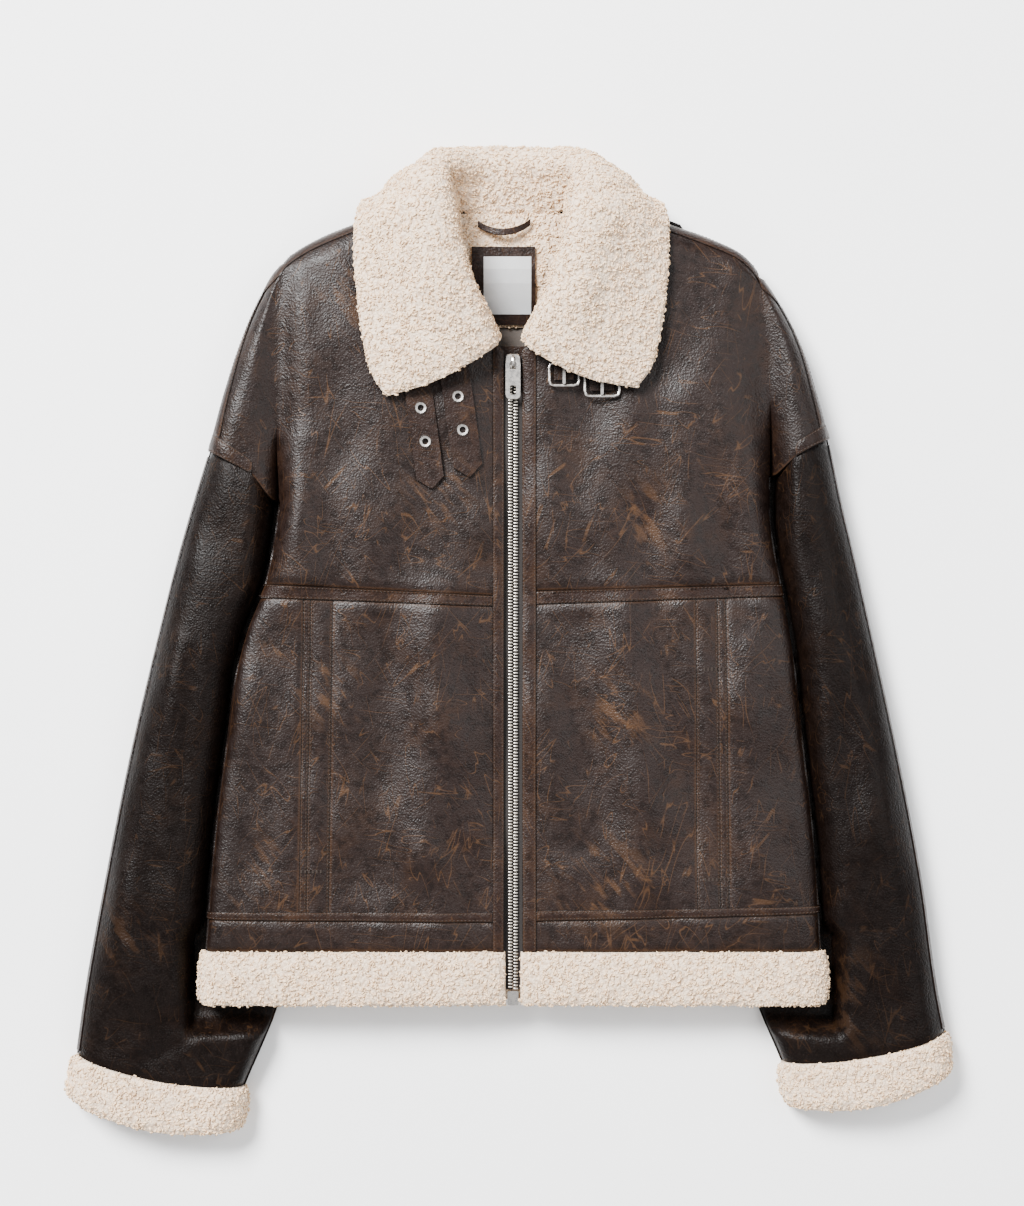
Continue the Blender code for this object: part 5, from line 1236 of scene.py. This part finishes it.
# Creases of the sleeves: side, share across and share along at each end, half-width and height in metres
SLEEVE_CREASES = [
    (RIGHT, 0.88, 0.03, 0.45, 0.16, 0.008, -0.0022),
    (RIGHT, 0.92, 0.10, 0.55, 0.24, 0.008, -0.0018),
    (RIGHT, 0.15, 0.30, 0.30, 0.62, 0.010, 0.0020),
    (RIGHT, 0.85, 0.55, 0.45, 0.68, 0.008, -0.0016),
    (RIGHT, 0.20, 0.80, 0.45, 0.93, 0.008, 0.0016),
    (RIGHT, 0.80, 0.88, 0.40, 0.97, 0.007, -0.0016),
    (LEFT, 0.86, 0.03, 0.48, 0.18, 0.008, -0.0022),
    (LEFT, 0.90, 0.14, 0.60, 0.27, 0.008, -0.0016),
    (LEFT, 0.18, 0.35, 0.26, 0.66, 0.010, 0.0018),
    (LEFT, 0.82, 0.60, 0.50, 0.72, 0.008, -0.0014),
    (LEFT, 0.30, 0.82, 0.55, 0.95, 0.008, 0.0016),
    (LEFT, 0.70, 0.86, 0.35, 0.97, 0.007, -0.0014),
]


def sleeve_face(side, down, across, place):
    """Height of the sleeve's upper side, with its creases where it lies free of the body."""
    height = sleeve_top_z(side, down, across, place)
    outside, past_hem = past_body(side, place[..., 0], place[..., 1])
    free = ease(np.minimum(across, 1 - across) / 0.14) * np.maximum(ease((outside - 0.012) / 0.02), past_hem)
    creases = folds(SLEEVE_CREASES, side, across, down, (0.15, 0.55))
    creases = creases * ease(np.minimum(across, 1 - across) / 0.12)
    uneven = swell(ZIP_X + side * place[..., 0], place[..., 1]) + creases
    return height + uneven * free


def dress_sleeve(side):
    """The two halves of a sleeve."""
    word = SIDES[side]
    stations = np.linspace(0.0, 1.0, SLEEVE_ROWS)
    under_stations = np.linspace(0.0, 1.0, SLEEVE_ROWS // 3)
    halves = {
        "sleeve_front": (stations, lambda s, down: split_shares(across_top(s, down), 3), sleeve_face, True),
        "sleeve_back": (under_stations, split_shares(ACROSS_UNDER, 2), sleeve_under_z, False),
    }
    for name, (rows, across, height, up) in halves.items():
        points = sleeve_grid(side, rows, across, height)
        chosen = all_cells(points)
        normals = facing_up(points, chosen, (len(rows) // 2, points.shape[1] // 2), up)
        normals[:, [0, -1], 2] = 0.0
        normals = unit(normals)
        panel(name + "_" + word, points, normals, chosen, SHADED_SLEEVE_FINISH, dip=up)
        if up:
            sleeve_seam_band(side, points, normals)


def sleeve_seam_band(side, points, normals):
    """The narrow strip that carries the shoulder's seam on down the sleeve's outer edge."""
    widths = np.linalg.norm(points - points[:, :1], axis=-1)
    last = int(np.argmax(widths.mean(axis=0) > SLEEVE_BAND * SLEEVE_BAND_REACH))
    strip, strip_normals = points[1:-1, 1:last + 1], normals[1:-1, 1:last + 1]
    chosen = all_cells(strip)
    leather_piece("sleeve_seam_band_" + SIDES[side], strip, strip_normals, chosen, 0.0, SLEEVE_BAND_THICK, TRIM_FINISH)


# Borg: a lumpy base with curls of pile on it

CURL_PITCH = 0.0026
CURL_TUBE = 0.00085
CURL_BEND = 0.0017
CURL_SINK = 0.0007
CURL_RINGS = 3
CURL_SIDES = 3
# Seeds of the curls' places
CUFF_SEED, HEM_SEED, HEM_BACK_SEED, COLLAR_SEED, NECK_SEED = 40, 50, 60, 70, 80
LUMP_HEIGHT, LUMP_WAVES = 0.0011, 14
# How high the borg stays above the surface that the jacket lies on, and how high the lowest curls do
FLOOR_CLEAR, CURL_CLEAR = 0.0012, 0.0002


def lumps(points, seed):
    """Soft lumps of the pile, as a share of their height, at points in space."""
    random = np.random.default_rng(seed)
    total = np.zeros(points.shape[:-1])
    for _ in range(LUMP_WAVES):
        heading = unit(random.normal(size=3))
        wave = random.uniform(0.009, 0.026)
        total += np.sin(2 * math.pi * (points @ heading) / wave + random.uniform(0, 2 * math.pi))
    return total / (LUMP_WAVES / 2)


def curls(name, points, normals, chosen, seed, pitch=CURL_PITCH, ring=False, size=1.0):
    """Bent tufts of pile strewn over the chosen cells of a surface, in one mesh."""
    random = np.random.default_rng(seed)
    if ring:
        points, normals = closed(points), closed(normals)
    a, b, c, d, na, nb, nc, nd = [corner[chosen] for grid in (points, normals) for corner in corners_of(grid)]
    areas = np.linalg.norm(np.cross(c - a, d - b), axis=-1) / 2
    count = int(areas.sum() / pitch**2)
    cell = random.choice(len(areas), count, p=areas / areas.sum())
    s, t = random.random((2, count, 1))
    def blend(p, q, r, o):
        return p[cell] * (1 - s) * (1 - t) + q[cell] * s * (1 - t) + r[cell] * s * t + o[cell] * (1 - s) * t
    root, normal = blend(a, b, c, d), unit(blend(na, nb, nc, nd))
    any_way = random.normal(size=(count, 3))
    along_way = unit(any_way - normal * (any_way * normal).sum(-1, keepdims=True))
    side_way = np.cross(normal, along_way)
    lean = random.uniform(0.15, 1.35, (count, 1))
    out_way = side_way * np.cos(lean) + normal * np.sin(lean)
    binormal = np.cross(along_way, out_way)
    bend = CURL_BEND * size * random.uniform(0.75, 1.3, (count, 1))
    sweep = random.uniform(1.0, 1.75, (count, 1))
    tube = CURL_TUBE * size * random.uniform(0.8, 1.2, (count, 1))
    rows = []
    steps = np.linspace(-1, 1, CURL_RINGS + 2)
    for number, step in enumerate(steps):
        angle = step * sweep
        centre = root - normal * CURL_SINK + along_way * np.sin(angle) * bend + out_way * np.cos(angle) * bend
        if number in (0, len(steps) - 1):
            rows.append(centre[:, None])
            continue
        outward = along_way * np.sin(angle) + out_way * np.cos(angle)
        width = tube * (1 - 0.35 * abs(step))
        turns = np.arange(CURL_SIDES) * 2 * math.pi / CURL_SIDES
        rows.append(np.stack([centre + (outward * math.cos(turn) + binormal * math.sin(turn)) * width
                              for turn in turns], axis=1))
    vertices = np.concatenate(rows, axis=1)
    each = vertices.shape[1]
    faces = []
    for turn in range(CURL_SIDES):
        after = (turn + 1) % CURL_SIDES
        faces.append((0, 1 + after, 1 + turn))
        for ring_number in range(CURL_RINGS - 1):
            low, high = 1 + ring_number * CURL_SIDES, 1 + (ring_number + 1) * CURL_SIDES
            faces += [(low + turn, low + after, high + after), (low + turn, high + after, high + turn)]
        low = 1 + (CURL_RINGS - 1) * CURL_SIDES
        faces.append((low + turn, low + after, each - 1))
    faces = np.array(faces)
    everything = (faces[None] + (np.arange(count) * each)[:, None, None]).reshape(-1, 3)
    placed = vertices.reshape(-1, 3) + MOVE
    placed[:, 2] = np.maximum(placed[:, 2], CURL_CLEAR)
    mesh = bpy.data.meshes.new(name)
    mesh.vertices.add(len(placed))
    mesh.vertices.foreach_set("co", placed.astype(np.float32).ravel())
    mesh.loops.add(len(everything) * 3)
    mesh.loops.foreach_set("vertex_index", everything.astype(np.int32).ravel())
    mesh.polygons.add(len(everything))
    mesh.polygons.foreach_set("loop_start", np.arange(0, len(everything) * 3, 3, dtype=np.int32))
    mesh.update(calc_edges=True)
    mesh.validate()
    made = add_object(name, mesh, BORG_FINISH)
    return made


def borg_piece(node, points, normals, low, high, seed, ring=False, bare=None, size=1.0, halves=False):
    """A borg wall with its curls, in place of the plain one. bare marks cells that carry no curls."""
    columns = points.shape[1] if ring else points.shape[1] - 1
    chosen = np.ones((points.shape[0] - 1, columns), bool)
    high = np.broadcast_to(high, points.shape[:2])
    shaped = high - LUMP_HEIGHT * 0.6 + LUMP_HEIGHT * lumps(points, seed) * np.clip(high / 0.004, 0, 1)
    shaped = np.maximum(shaped, np.minimum(high, 0.0004))
    base = shell(node + "_base", points, normals, chosen, low, shaped, SHADED_BORG_BASE_FINISH, ring=ring)
    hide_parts(node)
    outer = points + normals * shaped[..., None]
    outer_normals = grid_normals(outer, chosen, ring)
    sign = np.sign((outer_normals * normals).sum(-1).mean())
    grown = chosen if bare is None else chosen & ~bare
    outer_normals = outer_normals * sign
    half = len(points) // 2
    spans = ((0, half), (half, len(points) - 1)) if halves else ((0, len(points) - 1),)
    for number, (start, end) in enumerate(spans):
        curls("%s_curls_%d" % (node, number + 1), outer[start:end + 1], outer_normals[start:end + 1],
                          grown[start:end], seed + 1 + number, ring=ring, size=size)
    lay_sheet(closed(points) if ring else points, chosen)
    return base


def dress_cuff(side):
    """The cuff, a ring of borg on from the sleeve's end."""
    top_across = split_shares(across_top(side, 1.0), 3)
    under_across = split_shares(ACROSS_UNDER, 3)
    top = sleeve_grid(side, np.array([1.0]), top_across, sleeve_top_z)[0]
    under = sleeve_grid(side, np.array([1.0]), under_across, sleeve_under_z)[0]
    loop = np.concatenate([top, under[-2:0:-1]])
    loop_across = np.concatenate([top_across, under_across[-2:0:-1]])
    ends = np.array([[ZIP_X + side * out, y, 0.0] for out, y in CUFF_END[side]])
    starts = sleeve_grid(side, np.array([1.0]), np.array([0.0, 1.0]), sleeve_under_z)[0]
    travel = np.stack([between((ends - starts)[:, axis], loop_across) for axis in range(3)], axis=-1)
    travel[:, 2] = 0.0
    travel[:, 1] -= 0.006 * np.sin(np.pi * loop_across)
    steps = np.linspace(0, 1, 15)
    bulge = np.sin(np.pi * np.clip(steps, 0, 1)) ** 0.42
    grid = loop[None] + travel[None] * (steps[:, None, None] * (1 - CUFF_START) + CUFF_START)
    chosen = np.ones((len(steps) - 1, len(loop)), bool)
    normals = facing_up(grid, chosen, (7, len(top_across) // 2), ring=True)
    reach = np.where(normals[..., 2] < 0, grid[..., 2] / np.maximum(-normals[..., 2], 1e-6), CUFF_PROUD)
    high = np.minimum(CUFF_PROUD * bulge[:, None], np.maximum(reach - FLOOR_CLEAR, 0.0))
    floor_side = normals[:-1, :, 2] < -0.85
    borg_piece("cuff_" + SIDES[side], grid, normals, -CUFF_INSIDE, high, CUFF_SEED + side, ring=True, bare=floor_side)


def hem_rows(count):
    """Heights up the garment of the hem's rows, closer together towards its rolled edges."""
    turn = np.linspace(0, np.pi, count)
    return BORG_HEM_START_Y + (BORG_HEM_END_Y - BORG_HEM_START_Y) * (1 - np.cos(turn)) / 2, np.sin(turn) ** 0.5


def hem_grid(side, outs, rows, height):
    """Places along the hem, on the surface of this height."""
    return np.array([raise_grid(side, np.column_stack([outs, np.full(len(outs), y)])[None], height)[0] for y in rows])


# Distance out of the front hem's end at the zip, and the share of its thickness that the borg keeps at its rims
HEM_ZIP_END, HEM_RIM = 0.0066, 0.12
# How far the borg reaches inward at the back, where it lies on the floor
HEM_BACK_INSIDE = 0.0085


def hem_outs(side, start, count, turn_count):
    """Distances out along the hem, closer together where it turns at the side."""
    edge = float(side_edge(side, HEM_END_Y))
    turn = edge - EDGE_ROUND * np.linspace(1, 0, turn_count) ** 1.5
    return np.concatenate([np.linspace(start, edge - EDGE_ROUND, count)[:-1], turn])


def level_ends(normals, columns):
    """Turns the normals of some columns straight out sideways, so that the pieces meet square there."""
    for column in columns:
        normals[:, column, 1:] = 0.0
        normals[:, column] /= np.abs(normals[:, column, :1])


def dress_hem():
    """The borg hem: one piece on each front, and one round the back."""
    rows, bulge = hem_rows(13)
    for side, word in SIDES.items():
        outs = hem_outs(side, HEM_ZIP_END, 60, 12)
        points = hem_grid(side, outs, rows, hem_front_z)
        chosen = all_cells(points)
        normals = facing_up(points, chosen, (6, 6))
        level_ends(normals, [-1])
        zip_end = ease((outs - HEM_ZIP_END + 0.0015) / 0.006)[None]
        high = HEM_PROUD * np.maximum(bulge[:, None], HEM_RIM) * (0.35 + 0.65 * zip_end)
        borg_piece("hem_borg_" + word, points, normals, -HEM_INSIDE, high, HEM_SEED + side)
    parts = []
    for side in SIDES:
        parts.append(hem_grid(side, hem_outs(side, 0.0, 40, 10), rows, hem_back_z))
    points = np.concatenate([parts[0][:, :0:-1], (parts[0][:, :1] + parts[1][:, :1]) / 2, parts[1][:, 1:]], axis=1)
    chosen = all_cells(points)
    normals = facing_up(points, chosen, (6, points.shape[1] // 2), up=False)
    level_ends(normals, [0, -1])
    free = np.clip(points[..., 2] / 0.012, 0, 1)
    most = np.maximum(points[..., 2] - FLOOR_CLEAR, 0.0)
    high = np.minimum(HEM_PROUD * np.maximum(bulge[:, None], HEM_RIM) * free, most)
    inner = -HEM_BACK_INSIDE + (HEM_BACK_INSIDE - HEM_INSIDE) * free
    bare = points[:-1, :-1, 2] < 0.004
    borg_piece("hem_borg_back", points, normals, inner, high, HEM_BACK_SEED, bare=bare)
    inside = points + normals * inner[..., None]
    inside_normals = facing_up(inside, chosen, (6, points.shape[1] // 2))
    curls("hem_borg_back_inner_curls", inside, inside_normals, chosen, HEM_BACK_SEED + 2)


def dress_collar():
    """The collar: borg over a leather wall."""
    along_count, across_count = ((150, 90))
    stations = np.linspace(0, 1, along_count)
    across = np.linspace(0, 1, across_count)
    points = collar_grid(stations, across)
    chosen = all_cells(points)
    normals = facing_up(points, chosen, (along_count // 8, int(across_count * 0.6)))
    rim = np.minimum(across, 1 - across)
    ends = np.minimum(stations, 1 - stations)
    full = rounded(0.20 + rim / 0.045)[None, :] * rounded(0.20 + ends / 0.025)[:, None]
    room = (points[..., 2] - FLOOR_CLEAR) / np.maximum(-normals[..., 2], 1e-6)
    reach = np.where(normals[..., 2] < 0, room, BORG_THICK)
    high = np.minimum((BORG_THICK - CURL_BEND * 0.6) * full, np.maximum(reach, 0.0005))
    borg_piece("collar_borg", points, normals, 2 * SEAM_GAP, high, COLLAR_SEED, halves=True)
    leather_piece("collar_leather_skin", points, normals, chosen, -COLLAR_LEATHER, -SEAM_GAP, LEATHER_FINISH,
                  "collar_leather")


def dress_neck_facing():
    """The borg inside the neck, with a bare field under the label's patch."""
    xs = np.linspace(-0.056, 0.054, 56)
    ys = np.linspace(0.3635, 0.2680, 49)
    y, x = np.meshgrid(ys, xs, indexing="ij")
    points = np.stack([ZIP_X + x, y, inside_z(x, y)], axis=-1)
    normals = np.zeros(points.shape)
    normals[..., 2] = 1.0
    under_patch = ((x > PATCH[0]) & (x < PATCH[1]) & (y < PATCH[2]) & (y > PATCH[3]))[:-1, :-1]
    high = np.where((x > PATCH[0] - 0.002) & (x < PATCH[1] + 0.002) & (y < PATCH[2] + 0.002) & (y > PATCH[3] - 0.002),
                    FACING_THICK - 0.0006, FACING_THICK - CURL_BEND * 0.5)
    borg_piece("neck_facing", points, normals, 0.0, high, NECK_SEED, bare=under_patch)


# Zip teeth: step from one to the next, half of a tooth's length up the zip, its height and its number of corners,
# half of the gap between the two rows, and where the rows begin

TOOTH_PITCH = 0.0027
TOOTH_HALF = 0.00078
TOOTH_RISE = 0.0023
TOOTH_CORNERS = 8
TEETH_GAP = 0.0002
TEETH_TOP_Y = 0.2330


def dress_teeth(side):
    """A row of metal teeth along one tape, set half a tooth lower on the wearer's left."""
    start = TEETH_TOP_Y - (TOOTH_PITCH / 2 if side == LEFT else 0.0)
    ys = np.arange(start, ZIP_END_Y + TOOTH_HALF, -TOOTH_PITCH)
    base = zip_face_z(ys) + SEAM_GAP
    sections = ((0.0, 0.92), (TOOTH_RISE * 0.62, 1.0), (TOOTH_RISE * 0.92, 0.80), (TOOTH_RISE, 0.50))
    middle, half_width = (TEETH_GAP + TEETH_HALF) / 2, (TEETH_HALF - TEETH_GAP) / 2
    vertices, faces = [], []
    for y, z in zip(ys, base):
        first = len(vertices)
        for rise, scale in sections:
            ring = outline_ring(half_width * (0.5 + 0.5 * scale), TOOTH_HALF * scale, 0.0006 * scale, 2)
            vertices += [(ZIP_X + side * middle + px, y + py, z + rise) for px, py in ring]
        for level in range(len(sections) - 1):
            low = first + level * TOOTH_CORNERS
            high = low + TOOTH_CORNERS
            for corner in range(TOOTH_CORNERS):
                after = (corner + 1) % TOOTH_CORNERS
                faces.append((low + corner, low + after, high + after, high + corner))
        foot, top = range(first, first + TOOTH_CORNERS), range(high, high + TOOTH_CORNERS)
        faces += [tuple(foot)[::-1], tuple(top)]
    made = add_mesh("zip_teeth_%s_row" % SIDES[side], vertices, faces, TEETH_FINISH)
    made.data.set_sharp_from_angle(angle=SHARP_TOOTH)
    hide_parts("zip_teeth_" + SIDES[side])


# Sewing

STITCH_LENGTH, STITCH_STEP = 0.0023, 0.0033
STITCH_WIDE, STITCH_HIGH = 0.00036, 0.00040
# How far inside a band's edge its sewing lies, and how far the ends of a stitch sink into the leather
STITCH_INSET, STITCH_END_SINK = 0.0014, 0.0002
STITCHES = []


def sew(line, normals, rise):
    """Notes small raised stitches along a line of points, at a height above it."""
    line = line + normals * rise
    runs = np.linalg.norm(np.diff(line, axis=0), axis=1)
    lengths = np.concatenate([[0.0], np.cumsum(runs)])
    starts = np.arange(STITCH_STEP / 2, lengths[-1] - STITCH_LENGTH, STITCH_STEP)
    for start in starts:
        a, b = (np.array([np.interp(place, lengths, line[:, axis]) for axis in range(3)])
                for place in (start, start + STITCH_LENGTH))
        up = np.array([np.interp(start, lengths, normals[:, axis]) for axis in range(3)])
        STITCHES.append((a, b, unit(up)))


def sew_band(points, normals, rows, columns, rise, along_rows=True):
    """Stitches just inside the two long edges of a band on a grid."""
    if not along_rows:
        points, normals = points.transpose(1, 0, 2), normals.transpose(1, 0, 2)
        rows, columns = columns, rows
    top, foot = points[rows[0], columns[0]:columns[1] + 1], points[rows[1], columns[0]:columns[1] + 1]
    up = normals[rows[0], columns[0]:columns[1] + 1]
    across = foot - top
    width = np.linalg.norm(across, axis=-1, keepdims=True)
    for share in (STITCH_INSET / width, 1 - STITCH_INSET / width):
        sew(top + across * share, up, rise)


def draw_stitches():
    """All the stitches in one mesh, each of three corners at its two ends and its middle."""
    vertices, faces = [], []
    for a, b, up in STITCHES:
        aside = np.cross(unit(b - a), up) * STITCH_WIDE
        first = len(vertices)
        middle = (a + b) / 2
        for centre, scale in ((a - up * STITCH_END_SINK, 0.45), (middle, 1.0), (b - up * STITCH_END_SINK, 0.45)):
            vertices += [centre - aside * scale, centre + up * STITCH_HIGH * scale, centre + aside * scale]
        faces += [(first, first + 1, first + 2), (first + 8, first + 7, first + 6)]
        for ring in (0, 3):
            for i, j in ((0, 1), (1, 2), (2, 0)):
                faces.append((first + ring + j, first + ring + i, first + ring + 3 + i, first + ring + 3 + j))
    made = add_mesh("sewing", vertices, faces, THREAD_FINISH)


# Floor, light and camera

# Width of a pixel of the photo on the garment, and the photo's width in pixels
PIXEL, PHOTO_WIDTH = 0.00085, 1024
LENS, SENSOR = 85.0, 36.0
# The photo's middle, seen from the pixel at the garment's own origin
CAMERA_AT = ((512 - 508.75) * PIXEL, (640.2 - 603) * PIXEL)
CAMERA_TARGET_Z = 0.030
FLOOR_HALF, FLOOR_Z = 6, -0.0002
SKY, SKY_STRENGTH = (0.95, 0.97, 1.0, 1.0), 0.70
# Name, place, size and power of each light
LIGHTS = [("key", (-2.4, 2.8, 4.0), 2.0, 1380.0), ("fill", (1.6, 0.4, 2.2), 1.8, 48.0),
          ("low", (-0.4, -1.9, 1.6), 1.6, 14.0)]


def set_stage():
    """The pale floor, the sky, the lights and the camera straight above."""
    mesh = bpy.data.meshes.new("floor")
    corners = [(x * FLOOR_HALF, y * FLOOR_HALF, FLOOR_Z) for x, y in ((-1, -1), (1, -1), (1, 1), (-1, 1))]
    mesh.from_pydata(corners, [], [(0, 1, 2, 3)])
    mesh.materials.append(plain_finish("pale_floor", (0.92, 0.92, 0.92, 1), (0.94, 0.94, 0.94, 1), (0.80, 0.90), 3.0,
                                       bump=0.0))
    floor = link_object("floor", mesh)

    world = bpy.data.worlds.new("studio")
    bpy.context.scene.world = world
    world.use_nodes = True
    sky = world.node_tree.nodes["Background"].inputs
    sky["Color"].default_value = SKY
    sky["Strength"].default_value = SKY_STRENGTH

    for name, place, size, power in LIGHTS:
        light = bpy.data.lights.new(name, "AREA")
        light.size = size
        light.energy = power
        lamp = link_object(name, light)
        lamp.location = place
        aim = Vector((0.0, 0.0, 0.0)) - Vector(place)
        lamp.rotation_euler = aim.to_track_quat("-Z", "Y").to_euler()

    camera = bpy.data.cameras.new("camera")
    camera.lens = LENS
    camera.sensor_width = SENSOR
    camera.sensor_fit = "HORIZONTAL"
    distance = PHOTO_WIDTH * PIXEL * LENS / SENSOR
    eye = link_object("camera", camera)
    eye.location = (CAMERA_AT[0] + MOVE[0], CAMERA_AT[1] + MOVE[1], CAMERA_TARGET_Z + distance)
    bpy.context.scene.camera = eye


def main():
    finish_nodes()
    for side in SIDES:
        dress_front(side)
        dress_sleeve(side)
        dress_cuff(side)
        dress_teeth(side)
    dress_back()
    dress_hem()
    dress_collar()
    dress_neck_facing()
    draw_stitches()
    set_stage()
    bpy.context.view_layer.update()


main()
